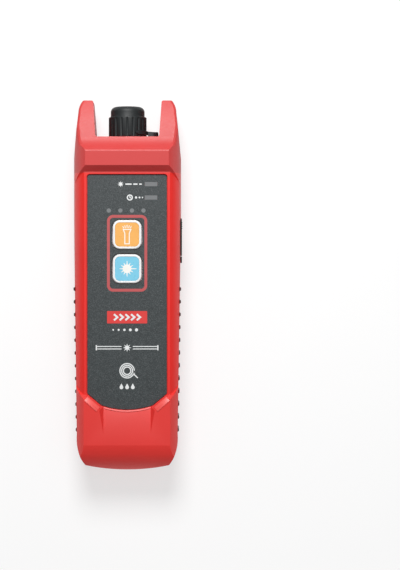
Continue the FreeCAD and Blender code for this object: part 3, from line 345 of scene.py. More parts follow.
@dataclass(frozen=True)
class Speckled(Finish):
    """Printed film with tiny metallic flakes in a dark ground.

    Attributes:
        fleck: Colour of the flakes.
        size: Size of a flake in metres.
        share: Value of a cell above which it is a flake.
        cover: How far a flake hides the ground.
        sheen: Roughness between the flakes and on them.
        blotch: Size of a blotch in the ground in metres.
        wander: Brightness of the darkest and the palest blotch.
        grain: Size of the film's grain in metres.
        relief: Depth of the grain in metres.
    """

    fleck: Colour = (0.2, 0.21, 0.22)
    size: float = 0.00022
    share: float = 0.55
    cover: float = 0.5
    sheen: Point = (0.5, 0.34)
    blotch: float = 0.0016
    wander: Point = (0.86, 1.12)
    grain: float = 0.0002
    relief: float = 0.000004

    def weave(self, shader: Shader) -> None:
        """Scattered pale and dark flakes over the ground colour.

        Args:
            shader: Builder of the node tree.
        """
        cells = shader.add("ShaderNodeTexVoronoi", {"Vector": shader.place, "Scale": 1 / self.size})
        split = shader.add("ShaderNodeSeparateColor", {"Color": cells.outputs["Color"]})
        flakes = shader.spread(split.outputs["Red"], self.share, 1)
        ground = shader.tint(shader.spread(shader.noise(self.blotch, 3)), self.colour, *self.wander)
        shader.set(Base_Color=shader.mix(shader.spread(flakes, 0, 1, 0, self.cover), ground, self.fleck),
                   Roughness=shader.spread(flakes, 0, 1, *self.sheen))
        shader.bump(shader.noise(self.grain, 1), self.relief)


@dataclass(frozen=True)
class Gloss(Finish):
    """Smooth moulded or printed surface.

    Attributes:
        rough: Mean roughness.
        uneven: How far the roughness wanders.
        peel: Size of the orange peel in metres.
        relief: Depth of the orange peel in metres.
        cloud: Size of a cloud in metres.
        wander: Brightness of the darkest and the palest cloud.
    """

    rough: float = 0.25
    uneven: float = 0.04
    peel: float = 0.0012
    relief: float = 0.000003
    cloud: float = 0.004
    wander: Point = (0.96, 1.03)

    def weave(self, shader: Shader) -> None:
        """Even colour with faint clouding and orange peel.

        Args:
            shader: Builder of the node tree.
        """
        peel = shader.noise(self.peel)
        cloud = shader.spread(shader.noise(self.cloud, 3))
        gloss = shader.spread(peel, start=self.rough - self.uneven, end=self.rough + self.uneven)
        shader.set(Base_Color=shader.tint(cloud, self.colour, *self.wander), Roughness=gloss)
        shader.bump(peel, self.relief)


@dataclass(frozen=True)
class Metal(Finish):
    """Machined, drawn or plated metal.

    Attributes:
        rough: Usual roughness.
        brush: How much finer the tool marks are along X, Y and Z.
        uneven: How much smoother and how much rougher than usual the marks are.
        mark: Size of a tool mark in metres.
        relief: Depth of a tool mark in metres.
        spot: Size of a tarnished spot in metres.
        dull: Brightness of a tarnished spot.
    """

    rough: float = 0.3
    brush: Three = (1, 12, 1)
    uneven: Point = (0.08, 0.1)
    mark: float = 0.0012
    relief: float = 0.000006
    spot: float = 0.006
    dull: float = 0.82

    def weave(self, shader: Shader) -> None:
        """Tool marks and light tarnish.

        Args:
            shader: Builder of the node tree.
        """
        marks = shader.noise(self.mark, 4, self.brush)
        tarnish = shader.spread(shader.noise(self.spot, 4), 0.35, 0.75)
        less, more = self.uneven
        shader.set(Base_Color=shader.tint(tarnish, self.colour, 1.0, self.dull), Metallic=1.0,
                   Roughness=shader.spread(marks, 0.25, 0.75, self.rough - less, self.rough + more))
        shader.bump(marks, self.relief)


@dataclass(frozen=True)
class Clear(Finish):
    """Clear resin or glass.

    Attributes:
        rough: Roughness.
        index: Refractive index.
        flow: Size of a flow line in metres.
        relief: Depth of a flow line in metres.
    """

    rough: float = 0.05
    index: float = 1.5
    flow: float = 0.002
    relief: float = 0.000004

    def weave(self, shader: Shader) -> None:
        """Transmission with faint flow lines.

        Args:
            shader: Builder of the node tree.
        """
        flow = shader.noise(self.flow)
        shader.set(Base_Color=shader.tint(shader.spread(flow), self.colour, 0.97, 1.0), Roughness=self.rough,
                   Transmission_Weight=1.0, IOR=self.index)
        shader.bump(flow, self.relief)


@dataclass(frozen=True)
class Paper(Finish):
    """White floor that keeps a pale shadow.

    Attributes:
        glow: Share of plain white that is seen over the shaded paper.
        cloud: Size of a cloud in the paper in metres.
        rough: Roughness.
        shine: How strongly it mirrors.
    """

    glow: float = 0.62
    cloud: float = 0.05
    rough: float = 0.9
    shine: float = 0.1

    def weave(self, shader: Shader) -> None:
        """Faintly mottled paper, washed with white where it is seen.

        Args:
            shader: Builder of the node tree.
        """
        mottle = shader.spread(shader.noise(self.cloud, 3))
        shader.set(Base_Color=shader.tint(mottle, self.colour, 0.985, 1.0), Roughness=self.rough,
                   Specular_IOR_Level=self.shine)
        plain = shader.shader.outputs["BSDF"]
        white = shader.add("ShaderNodeEmission", {"Color": (1, 1, 1, 1)}).outputs["Emission"]
        washed = shader.add("ShaderNodeMixShader", {0: self.glow, 1: plain, 2: white}).outputs["Shader"]
        rays = shader.add("ShaderNodeLightPath").outputs
        seen = shader.math("MAXIMUM", rays["Is Camera Ray"], rays["Is Glossy Ray"])
        seen = shader.math("MAXIMUM", seen, rays["Is Transmission Ray"])
        choice = shader.add("ShaderNodeMixShader", {0: seen, 1: plain, 2: washed})
        shader.feed(shader.output.inputs["Surface"], choice.outputs["Shader"])


@dataclass(frozen=True)
class SolderMask(Finish):
    """Circuit board under green mask, with copper tracks that show through.

    Attributes:
        track: Colour over copper.
        pitch: Distance between tracks in metres.
        wide: Width of a track as a share of the pitch.
        rise: Height of a track in metres.
        rough: Least and greatest roughness.
        grain: Size in metres of a stretch of one roughness.
    """

    track: Colour = (0.03, 0.27, 0.1)
    pitch: float = 0.0042
    wide: float = 0.05
    rise: float = 0.00002
    rough: Point = (0.28, 0.4)
    grain: float = 0.001

    def weave(self, shader: Shader) -> None:
        """Fine grid of tracks in a green ground.

        Args:
            shader: Builder of the node tree.
        """
        brick = shader.add("ShaderNodeTexBrick", {
            "Vector": shader.place, "Scale": 1 / self.pitch, "Mortar Size": self.wide,
            "Color1": (*self.colour, 1), "Color2": (*shade(self.colour, 0.85), 1), "Mortar": (*self.track, 1)})
        smooth, dull = self.rough
        grain = shader.spread(shader.noise(self.grain), start=smooth, end=dull)
        shader.set(Base_Color=brick.outputs["Color"], Roughness=grain)
        shader.bump(brick.outputs["Fac"], self.rise)


FLOOR_PAPER = Paper("floor_paper", (0.93, 0.93, 0.93))
SHELL_RED = ShellWithPaintedLight("shell_red_plastic", (0.72, 0.018, 0.013), rough=0.42, grain=0.0004, mottle=0.03)
# Near-black red painted on the side ribs: painted shade.
RIB_PAINTED_SHADE = Moulded("rib_painted_shade", (0.055, 0.006, 0.007), rough=0.5)
# Pale red on the bumper bars and bead: a painted highlight where they face the light.
BAR_PAINTED_HIGHLIGHT = Moulded("bar_painted_highlight", (0.80, 0.085, 0.075), rough=0.36)
PANEL_FILM = Speckled("panel_film", (0.028, 0.036, 0.038), fleck=(0.14, 0.15, 0.155))
KEY_WHITE = Gloss("key_white_plastic", (0.83, 0.84, 0.84), rough=0.3)
KEY_ORANGE = Gloss("key_orange_field", (0.84, 0.42, 0.11), rough=0.3)
KEY_BLUE = Gloss("key_blue_field", (0.20, 0.56, 0.74), rough=0.3)
KEY_MARK = Gloss("key_mark_ink", (0.86, 0.85, 0.80), rough=0.4)
INK_WHITE = Gloss("panel_white_ink", (0.74, 0.76, 0.76), rough=0.5)
INK_RED = Gloss("panel_red_ink", (0.66, 0.04, 0.036), rough=0.45)
INK_DUSTY = Gloss("panel_dusty_red_ink", (0.46, 0.075, 0.078), rough=0.5)
INK_GREY = Gloss("panel_grey_ink", (0.17, 0.18, 0.185), rough=0.45)
WINDOW_GREY = Gloss("window_grey_resin", (0.165, 0.172, 0.178), rough=0.35)
BLACK_PLASTIC = Moulded("black_plastic", (0.022, 0.022, 0.024), rough=0.5)
CAP_RUBBER = Moulded("cap_rubber", (0.006, 0.009, 0.010), rough=0.55, grain=0.0003, mottle=0.12)
BLACK_RUBBER = Moulded("black_rubber", (0.006, 0.006, 0.007), rough=0.55, grain=0.0002, mottle=0.12)
SILICONE = Moulded("key_mat_silicone", (0.2, 0.2, 0.21), rough=0.65)
FOAM = Moulded("battery_foam_cells", (0.05, 0.05, 0.052), rough=0.9, grain=0.0007, relief=0.00012, mottle=0.2)
STRAP_RUBBER = Moulded("strap_rubber", (0.013, 0.016, 0.018), rough=0.45, grain=0.0003, mottle=0.1)
STEEL = Metal("drawn_steel", (0.56, 0.56, 0.57), rough=0.3)
ZINC = Metal("zinc_screw", (0.42, 0.42, 0.43), rough=0.36, brush=(1, 1, 14))
BRASS = Metal("turned_brass", (0.72, 0.48, 0.2), rough=0.3)
NICKEL = Metal("nickel_plate", (0.68, 0.66, 0.62), rough=0.2)
GOLD = Metal("gold_contact", (0.8, 0.56, 0.22), rough=0.25)
SOLDER = Metal("solder_joint", (0.6, 0.6, 0.62), rough=0.25, brush=(1, 1, 1))
CERAMIC = Gloss("zirconia_sleeve", (0.78, 0.76, 0.70), rough=0.2)
GLASS = Clear("lens_glass", (0.96, 0.98, 1.0))
RESIN = Clear("torch_resin", (0.97, 0.97, 0.98), rough=0.08, index=1.46)
PHOSPHOR = Gloss("lamp_phosphor", (0.86, 0.62, 0.1), rough=0.5)
LED_BODY = Gloss("indicator_resin", (0.72, 0.71, 0.66), rough=0.4)
CELL_WRAP = Gloss("cell_wrap_film", (0.045, 0.14, 0.36), rough=0.28)
CONNECTOR = Gloss("connector_nylon", (0.7, 0.68, 0.62), rough=0.45)
BOARD = SolderMask("board_mask", (0.012, 0.12, 0.045))

SLOT_FINISHES: dict[str, Finish] = {
    "red_shell": SHELL_RED,
    "overlay": PANEL_FILM,
    "key_white": KEY_WHITE,
    "key_orange": KEY_ORANGE,
    "key_blue": KEY_BLUE,
    "switch_black": BLACK_PLASTIC,
    "silicone": SILICONE,
    "window_grey": WINDOW_GREY,
    "board_green": BOARD,
    "connector_white": CONNECTOR,
    "socket_steel": STEEL,
    "black_rubber": BLACK_RUBBER,
    "cell_wrap": CELL_WRAP,
    "foam": FOAM,
    "brass": BRASS,
    "lens_glass": GLASS,
    "nickel": NICKEL,
    "sleeve_ceramic": CERAMIC,
    "cap_black": CAP_RUBBER,
    "lamp_clear": RESIN,
    "led_white": LED_BODY,
}


# ---------------------------------------------------------------- meshes

SMOOTH = 0.6  # largest angle in radians that still shades smooth
CIRCLE = 2 * math.pi


def mm(*values: float) -> tuple[float, ...]:
    """Turn millimetres into metres."""
    return tuple(value * MM for value in values)


def middle(node: str) -> Vector:
    """Return the middle of a node's box."""
    low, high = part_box(node)
    return (low + high) / 2


def new_object(name: str, mesh: Mesh, finish: Finish) -> Object:
    """Link a mesh as an object with one finish.

    Args:
        name: Name of the piece.
        mesh: Its mesh, in the frame's own place.
        finish: Finish for all its faces.

    Returns:
        The new object.
    """
    piece = bpy.data.objects.new(name, mesh)
    bpy.context.scene.collection.objects.link(piece)
    piece.data.materials.clear()
    piece.data.materials.append(finish.material())
    return piece


def settle(piece: Object, body: Body) -> None:
    """Give a finished piece its body.

    Args:
        piece: The piece.
        body: Body that it moves with.
    """
    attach(piece, body.value)
    LOG.info("%s rides on %s", piece.name, body.value)


def show(mesh: Mesh, finish: Finish, body: Body, node: str | None = None) -> None:
    """Show a mesh as a piece of the same name.

    Args:
        mesh: The mesh, in the frame's own place.
        finish: Its finish.
        body: Body that it moves with.
        node: Solid that it is shown in place of, or None.
    """
    piece = new_object(mesh.name, mesh, finish)
    if node is not None:
        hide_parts(node)
    settle(piece, body)


def shaded(mesh: Mesh, angle: float = SMOOTH) -> Mesh:
    """Shade a mesh smooth up to an angle.

    Args:
        mesh: The mesh.
        angle: Largest angle in radians that still shades smooth.

    Returns:
        The same mesh.
    """
    mesh.polygons.foreach_set("use_smooth", [True] * len(mesh.polygons))
    mesh.set_sharp_from_angle(angle=angle)
    return mesh


def mesh_from(build: BMesh, name: str, angle: float = SMOOTH) -> Mesh:
    """Turn a bmesh into a shaded mesh with outward normals.

    Args:
        build: The bmesh, which is freed.
        name: Name of the mesh.
        angle: Largest angle in radians that still shades smooth.

    Returns:
        The mesh.
    """
    bmesh.ops.recalc_face_normals(build, faces=build.faces)
    mesh = bpy.data.meshes.new(name)
    build.to_mesh(mesh)
    build.free()
    return shaded(mesh, angle)


def skin(rings: list[list[Vector]], closed: bool = False) -> BMesh:
    """Join rings of points into one closed skin.

    Args:
        rings: Rings of equally many points, or of one point where the skin comes to a point.
        closed: Whether the last ring joins the first; otherwise the end rings are filled.

    Returns:
        The skin.
    """
    build = bmesh.new()
    loops = [[build.verts.new(point) for point in ring] for ring in rings]
    steps = max(len(loop) for loop in loops)
    for first, second in zip(loops, loops[1:] + loops[:1 if closed else 0]):
        for i in range(steps):
            places = ((first, i), (first, i + 1), (second, i + 1), (second, i))
            corners = [loop[place % len(loop)] for loop, place in places]
            build.faces.new(list(dict.fromkeys(corners)))
    for loop in [] if closed else [loops[0], loops[-1][::-1]]:
        if len(loop) > 1:
            build.faces.new(loop)
    return build


def plate(outline: list[Point], low: float, high: float, name: str) -> Mesh:
    """Make a flat plate.

    Args:
        outline: Its corners in metres.
        low: Height of its underside.
        high: Height of its top.
        name: Name of the mesh.

    Returns:
        The closed mesh.
    """
    build = bmesh.new()
    face = build.faces.new([build.verts.new((x, y, low)) for x, y in outline])
    grown = bmesh.ops.extrude_face_region(build, geom=[face])
    raised = [item for item in grown["geom"] if isinstance(item, BMVert)]
    bmesh.ops.translate(build, verts=raised, vec=(0, 0, high - low))
    return mesh_from(build, name)


def ribbon(path: list[Point], width: float, low: float, high: float, closed: bool, name: str) -> Mesh:
    """Make a raised line of even width along a path.

    Args:
        path: Points in metres.
        width: Width of the line.
        low: Height of its underside.
        high: Height of its top.
        closed: Whether the line returns to its start.
        name: Name of the mesh.

    Returns:
        The closed mesh.
    """
    least = 0.35  # keeps the line from growing too wide at a sharp turn
    points = [Vector(point) for point in path]
    rings = []
    for i, here in enumerate(points):
        start, end = not closed and i == 0, not closed and i == len(points) - 1
        after = None if end else points[(i + 1) % len(points)]
        into = ((after - here) if start else (here - points[i - 1])).normalized()
        away = into if end else (after - here).normalized()
        side = Vector((-(into + away).y, (into + away).x)).normalized()
        reach = width / 2 / max(least, side.dot(Vector((-into.y, into.x))))
        left, right = here + side * reach, here - side * reach
        rings.append([(at.x, at.y, z) for at, z in ((left, low), (right, low), (right, high), (left, high))])
    return mesh_from(skin(rings, closed), name)


def rounded_box(centre: Point, size: Point, radius: float, steps: int = 6) -> list[Point]:
    """Lay out a rectangle with rounded corners.

    Args:
        centre: Its middle.
        size: Its width and height.
        radius: Radius of its corners.
        steps: Segments of a corner.

    Returns:
        Counter-clockwise corners.
    """
    outline = []
    for quarter, (sx, sy) in enumerate(((1, 1), (-1, 1), (-1, -1), (1, -1))):
        corner = (centre[0] + sx * (size[0] / 2 - radius), centre[1] + sy * (size[1] / 2 - radius))
        outline += arc(corner, radius, steps, CIRCLE / 4 * quarter, CIRCLE / 4)
    return outline


def arc(centre: Point, radius: float, steps: int, start: float = 0.0, turn: float = CIRCLE) -> list[Point]:
    """Lay out an arc.

    Args:
        centre: Its middle.
        radius: Its radius.
        steps: Its segments.
        start: Angle of its first point in radians.
        turn: Angle from its first point to its last.

    Returns:
        Its points, without the last where it is a full circle.
    """
    count = steps if turn == CIRCLE else steps + 1
    angles = [start + turn * i / steps for i in range(count)]
    return [(centre[0] + radius * math.cos(angle), centre[1] + radius * math.sin(angle)) for angle in angles]


def star(centre: Point, tip: float, notch: float) -> list[Point]:
    """Lay out a star with eight spikes.

    Args:
        centre: Its middle.
        tip: Radius of its spikes.
        notch: Radius between them.

    Returns:
        Counter-clockwise corners.
    """
    spikes = 8
    outer, inner = arc(centre, tip, 2 * spikes), arc(centre, notch, 2 * spikes)
    return [inner[i] if i % 2 else outer[i] for i in range(2 * spikes)]


def joined(meshes: list[Mesh], name: str) -> Mesh:
    """Join meshes into one.

    Args:
        meshes: The meshes, which are used up.
        name: Name of the new mesh.

    Returns:
        The new mesh.
    """
    build = bmesh.new()
    for mesh in meshes:
        build.from_mesh(mesh)
        bpy.data.meshes.remove(mesh)
    return mesh_from(build, name)


@dataclass
class Turned:
    """Closed shape turned round an axis along Y.

    Attributes:
        centre: Where the axis stands in X and Z.
        steps: Points round the axis.
        flutes: Number of grip flutes.
        flute_half: Half the angle of one flute in radians.
    """

    centre: Point
    steps: int = 64
    flutes: int = 0
    flute_half: float = 0.1

    def groove(self, angle: float) -> float:
        """Work out a flute's depth at an angle.

        Args:
            angle: Angle round the axis in radians.

        Returns:
            Share of the flute's full depth.
        """
        if not self.flutes:
            return 0.0
        pitch = CIRCLE / self.flutes
        off = abs((angle + pitch / 2) % pitch - pitch / 2)
        return 0.5 + 0.5 * math.cos(math.pi * off / self.flute_half) if off < self.flute_half else 0.0

    def mesh(self, profile: list[tuple[float, ...]], name: str) -> Mesh:
        """Turn a profile.

        Args:
            profile: Y, radius and, where it is fluted, flute depth of each ring; its ends lie on the axis.
            name: Name of the mesh.

        Returns:
            The closed mesh.
        """
        x, z = self.centre
        rings = []
        for y, radius, *depth in profile:
            ring = []
            for angle in [CIRCLE * i / self.steps for i in range(self.steps if radius else 1)]:
                reach = radius - sum(depth) * self.groove(angle)
                ring.append((x + reach * math.cos(angle), y, z + reach * math.sin(angle)))
            rings.append(ring)
        return mesh_from(skin(rings), name, 0.7)


# ---------------------------------------------------------------- repeated pieces


class Row(NodeTree, ABC):
    """Geometry Nodes tree that repeats one small shape along a straight row."""

    sizes: tuple[str, ...] = ()

    def __init__(self) -> None:
        """Build the tree with its named inputs."""
        super().__init__(bpy.data.node_groups.new(type(self).__name__, "GeometryNodeTree"))
        face = self.tree.interface
        face.new_socket(name="Geometry", in_out="OUTPUT", socket_type="NodeSocketGeometry")
        kinds = {"Count": "Int", "Start": "Vector", "Step": "Vector", "Material": "Material"}
        kinds.update(dict.fromkeys(self.sizes, "Float"))
        for label, kind in kinds.items():
            face.new_socket(name=label, in_out="INPUT", socket_type=f"NodeSocket{kind}")
        source = self.add("NodeGroupInput").outputs
        places = {"Count": source["Count"], "Start Location": source["Start"], "Offset": source["Step"]}
        line = self.add("GeometryNodeMeshLine", places, mode="OFFSET").outputs["Mesh"]
        shape = self.shape(source)
        copies = self.geometry("InstanceOnPoints", {"Points": line, "Instance": shape}, "Instances")
        real = self.geometry("RealizeInstances", {"Geometry": copies})
        painted = self.geometry("SetMaterial", {"Geometry": real, "Material": source["Material"]})
        self.add("NodeGroupOutput", {"Geometry": painted})

    def geometry(self, kind: str, inputs: dict[str | int, object], result: str = "Geometry") -> Socket:
        """Add a geometry node, whose kind is given without its prefix, and return one result."""
        return self.add(f"GeometryNode{kind}", inputs).outputs[result]

    def vector(self, **sizes: float | Socket) -> Socket:
        """Put sizes along X, Y and Z together."""
        return self.add("ShaderNodeCombineXYZ", sizes).outputs["Vector"]

    def box(self, wide: Socket, deep: Socket, high: Socket) -> Socket:
        """Box about the middle."""
        return self.geometry("MeshCube", {"Size": self.vector(X=wide, Y=deep, Z=high)}, "Mesh")

    def cylinder(self, sides: int, radius: Socket, high: Socket) -> Socket:
        """Upright cylinder about the middle."""
        return self.geometry("MeshCylinder", {"Vertices": sides, "Radius": radius, "Depth": high}, "Mesh")

    @abstractmethod
    def shape(self, source: NodeOutputs) -> Socket:
        """Build the shape that is repeated."""

    def mesh(self, name: str, finish: Finish, count: int, start: Vector, step: Vector, **sizes: float) -> Mesh:
        """Run the tree once and keep the result as a plain mesh.

        Args:
            name: Name of the mesh.
            finish: Its finish.
            count: How many copies.
            start: Middle of the first copy.
            step: From one copy to the next.
            **sizes: The shape's own sizes in metres, by the names in the tree in lower case.

        Returns:
            The plain mesh.
        """
        host = new_object(f"{name}_host", bpy.data.meshes.new(f"{name}_host"), finish)
        modifier = host.modifiers.new("row", "NODES")
        modifier.node_group = self.tree
        values = {"Count": count, "Start": start, "Step": step, "Material": finish.material()}
        values.update({label.capitalize(): size for label, size in sizes.items()})
        for item in self.tree.interface.items_tree:
            if item.item_type == "SOCKET" and item.in_out == "INPUT":
                modifier[item.identifier] = values[item.name]
        graph = bpy.context.evaluated_depsgraph_get()
        mesh = bpy.data.meshes.new_from_object(host.evaluated_get(graph))
        bpy.data.objects.remove(host)
        mesh.name = name
        return shaded(mesh)


class BarRow(Row):
    """Row of small bars, such as leads and contacts."""

    sizes = ("Wide", "Deep", "High")

    def shape(self, source: NodeOutputs) -> Socket:
        """One bar."""
        return self.box(source["Wide"], source["Deep"], source["High"])


class DiscRow(Row):
    """Row of flat discs, such as printed dots."""

    sizes = ("Radius", "High")

    def shape(self, source: NodeOutputs) -> Socket:
        """One disc."""
        return self.cylinder(28, source["Radius"], source["High"])


class ScrewRow(Row):
    """Row of screws whose heads face down, each with a cross recess and a shank."""

    sizes = ("Radius", "High", "Shank", "Length", "Cross", "Slot")

    def shape(self, source: NodeOutputs) -> Socket:
        """Make a head less two crossed slots, joined to its shank.

        Args:
            source: The tree's inputs.

        Returns:
            The screw.
        """
        head = self.cylinder(32, source["Radius"], source["High"])
        slots = self.add("GeometryNodeJoinGeometry")
        for wide, deep in (("Cross", "Slot"), ("Slot", "Cross")):
            bar = self.box(source[wide], source[deep], source["High"])
            self.feed(slots.inputs["Geometry"], self.moved(bar, source["High"], -0.5))
        parts = {"Mesh 1": head, "Mesh 2": slots.outputs["Geometry"], "Self Intersection": True}
        drive = self.add("GeometryNodeMeshBoolean", parts, operation="DIFFERENCE", solver="EXACT")
        shank = self.moved(self.cylinder(20, source["Shank"], source["Length"]), source["Length"], 0.5)
        screw = self.add("GeometryNodeJoinGeometry", {"Geometry": shank})
        self.feed(screw.inputs["Geometry"], drive.outputs["Mesh"])
        return screw.outputs["Geometry"]

    def moved(self, mesh: Socket, size: Socket, share: float) -> Socket:
        """Move a shape up by a share of a size."""
        lift = self.vector(Z=self.math("MULTIPLY", size, share))
        return self.geometry("Transform", {"Geometry": mesh, "Translation": lift})


# ---------------------------------------------------------------- softened solids


@dataclass
class Softener:
    """Makes a shaded copy of a solid with softened edges and hides the bare solid.

    Attributes:
        edge: Width of the rounding on its edges in metres.
        steps: Segments of the rounding.
        crease: Smallest angle in degrees that is rounded.
        facet: Smallest angle in degrees that still shows as an edge.
        weld: Distance in metres under which corners become one.
        flat: Largest angle in degrees between facets of one face.
    """

    edge: float
    steps: int = 3
    crease: float = 28.0
    facet: float = 10.5
    weld: float = 0.000001
    flat: float = 0.4

    def copy(self, node: str) -> BMesh:
        """Take a node's mesh with its facets joined into whole faces.

        Args:
            node: Name of the node.

        Returns:
            The copy.
        """
        build = bmesh.new()
        build.from_mesh(frame["nodes"][node].data)
        bmesh.ops.remove_doubles(build, verts=build.verts, dist=self.weld)
        flat = math.radians(self.flat)
        bmesh.ops.dissolve_limit(build, angle_limit=flat, verts=build.verts, edges=build.edges)
        return build

    def show(self, build: BMesh, node: str, body: Body, finish: Finish, slot: str) -> Object:
        """Show a copy in place of its node.

        Args:
            build: The copy, which is freed.
            node: Name of the solid's node.
            body: Body that it moves with.
            finish: Finish of the copy.

        Returns:
            The softened piece.
        """
        mesh = bpy.data.meshes.new(f"{node}_soft")
        build.to_mesh(mesh)
        build.free()
        piece = new_object(f"{node}_soft", shaded(mesh, math.radians(self.facet)), finish)
        bevel = piece.modifiers.new("edges", "BEVEL")
        bevel.width = self.edge
        bevel.segments = self.steps
        bevel.limit_method = "ANGLE"
        bevel.angle_limit = math.radians(self.crease)
        bevel.use_clamp_overlap = True
        even = piece.modifiers.new("even_faces", "WEIGHTED_NORMAL")
        even.weight = 100
        even.keep_sharp = True
        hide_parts(node)
        settle(piece, body)
        return piece

    def make(self, node: str, body: Body, finish: Finish, slot: str) -> None:
        """Replace one node by its softened copy."""
        self.show(self.copy(node), node, body, finish, slot)


# ---------------------------------------------------------------- sub-assemblies


class Assembly(ABC):
    """One group of pieces that are built and dressed together."""

    @abstractmethod
    def build(self) -> None:
        """Build and dress the group's pieces."""


@dataclass
class BareNodes(Assembly):
    """Solids that are shown as they are, with the finish of their slot."""

    def build(self) -> None:
        """Give every solid its slot's finish."""
        for part in frame["record"]["subparts"]:
            finish = SLOT_FINISHES[part["material_slot"]]
            mesh = frame["nodes"][part["node"]].data
            for index in range(len(mesh.materials)):
                mesh.materials[index] = finish.material()
        LOG.info("finishes given to %d solids", len(frame["nodes"]))


@dataclass
class Housing(Assembly):
    """Two moulded red shells.

    Attributes:
        edge: Rounding of their moulded edges.
        sharp: Smallest angle in radians of an edge that is rounded more.
        rim: Rounding of the lip round the face panel.
        rim_reach: How far the lip lies outside the panel.
        rim_rise: What the lip's edge stands above the panel by at least.
        crease: Rounding of the edge between brow and saddle.
        crease_y: Where that edge is.
        crease_slack: How far the edge may lie from there.
        prong: Width of the slope along the prongs' outer edges.
        prong_y: Where the prongs start along Y.
        prong_x: What the prongs' outer edges are not nearer to the middle than.
        bumper_top: Height of the bumper.
        rib_wide: What no rib is wider than.
        rib_root: What no face of a rib is nearer to the middle than.
        rib_ends: Where the ribs start and end along Y.
    """

    edge: float = 0.2 * MM
    sharp: float = 0.6
    rim: float = 0.5 * MM
    rim_reach: float = 0.4 * MM
    rim_rise: float = 0.02 * MM
    crease: float = 0.6 * MM
    crease_y: float = 54.5 * MM
    crease_slack: float = 0.05 * MM
    prong: float = 1.0 * MM
    prong_y: float = 56.5 * MM
    prong_x: float = 16.4 * MM
    bumper_top: float = 25.4 * MM
    rib_wide: float = 2.0 * MM
    rib_root: float = 18.6 * MM
    rib_ends: Point = mm(-60.0, 0.0)

    def is_rim(self, edge: BMEdge, low: Vector, high: Vector) -> bool:
        """Tell whether an edge runs along the lip round the panel.

        Args:
            edge: Edge of the front shell.
            low: Low corner of the panel's box.
            high: High corner of it.

        Returns:
            Whether it is over the box and borders an upright face.
        """
        upright = 0.1
        for at in (vertex.co for vertex in edge.verts):
            beyond = max(low.x - at.x, at.x - high.x, low.y - at.y, at.y - high.y)
            if beyond >= self.rim_reach or at.z <= high.z + self.rim_rise:
                return False
        return any(abs(face.normal.z) < upright for face in edge.link_faces)

    def is_crease(self, edge: BMEdge) -> bool:
        """Tell whether an edge is the one between brow and saddle."""
        return all(abs(vertex.co.y - self.crease_y) < self.crease_slack and vertex.co.z > self.bumper_top
                   for vertex in edge.verts)

    def is_prong(self, edge: BMEdge) -> bool:
        """Tell whether an edge runs between the top and the outer side of a prong.

        Args:
            edge: Edge of the front shell.

        Returns:
            Whether it is one of them.
        """
        level, aside = 0.6, 0.5
        normals = [face.normal for face in edge.link_faces]
        return (all(v.co.y > self.prong_y and abs(v.co.x) > self.prong_x for v in edge.verts)
                and any(normal.z > level for normal in normals)
                and any(abs(normal.x) > aside and normal.z < level for normal in normals))

    def round_more(self, build: BMesh) -> None:
        """Round the lip and the brow's crease, and slope the prongs' outer edges.

        Args:
            build: The front shell.
        """
        rim, crease, prong = [], [], []
        low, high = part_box("face_panel")
        for edge in build.edges:
            if len(edge.link_faces) != 2 or edge.calc_face_angle(0) < self.sharp:
                continue
            if self.is_rim(edge, low, high):
                rim.append(edge)
            elif self.is_crease(edge):
                crease.append(edge)
            elif self.is_prong(edge):
                prong.append(edge)
        for chosen, width, steps in ((rim, self.rim, 3), (crease, self.crease, 4), (prong, self.prong, 2)):
            bmesh.ops.bevel(build, geom=chosen, offset=width, offset_type="OFFSET", segments=steps,
                            profile=0.5, affect="EDGES", clamp_overlap=True)
        LOG.info("rounded %d rim, %d brow and %d prong edges", len(rim), len(crease), len(prong))

    def paint_rib_shade(self, piece: Object) -> None:
        """Paint shade on the side ribs with a near-black red finish.

        Args:
            piece: A softened shell.
        """
        piece.data.materials.append(RIB_PAINTED_SHADE.material())
        near, far = self.rib_ends
        for face in piece.data.polygons:
            corners = [piece.data.vertices[i].co for i in face.vertices]
            spread = max(c.y for c in corners) - min(c.y for c in corners)
            outside = all(abs(c.x) > self.rib_root for c in corners)
            if outside and spread < self.rib_wide and near < face.center.y < far:
                face.material_index = 1

    def build(self) -> None:
        """Round and soften both shells."""
        softener = Softener(self.edge, steps=3, crease=24)
        for node in ("front_housing", "rear_housing"):
            build = softener.copy(node)
            if node == "front_housing":
                self.round_more(build)
            self.paint_rib_shade(softener.show(build, node, Body.CASE, SHELL_RED, "red_shell"))


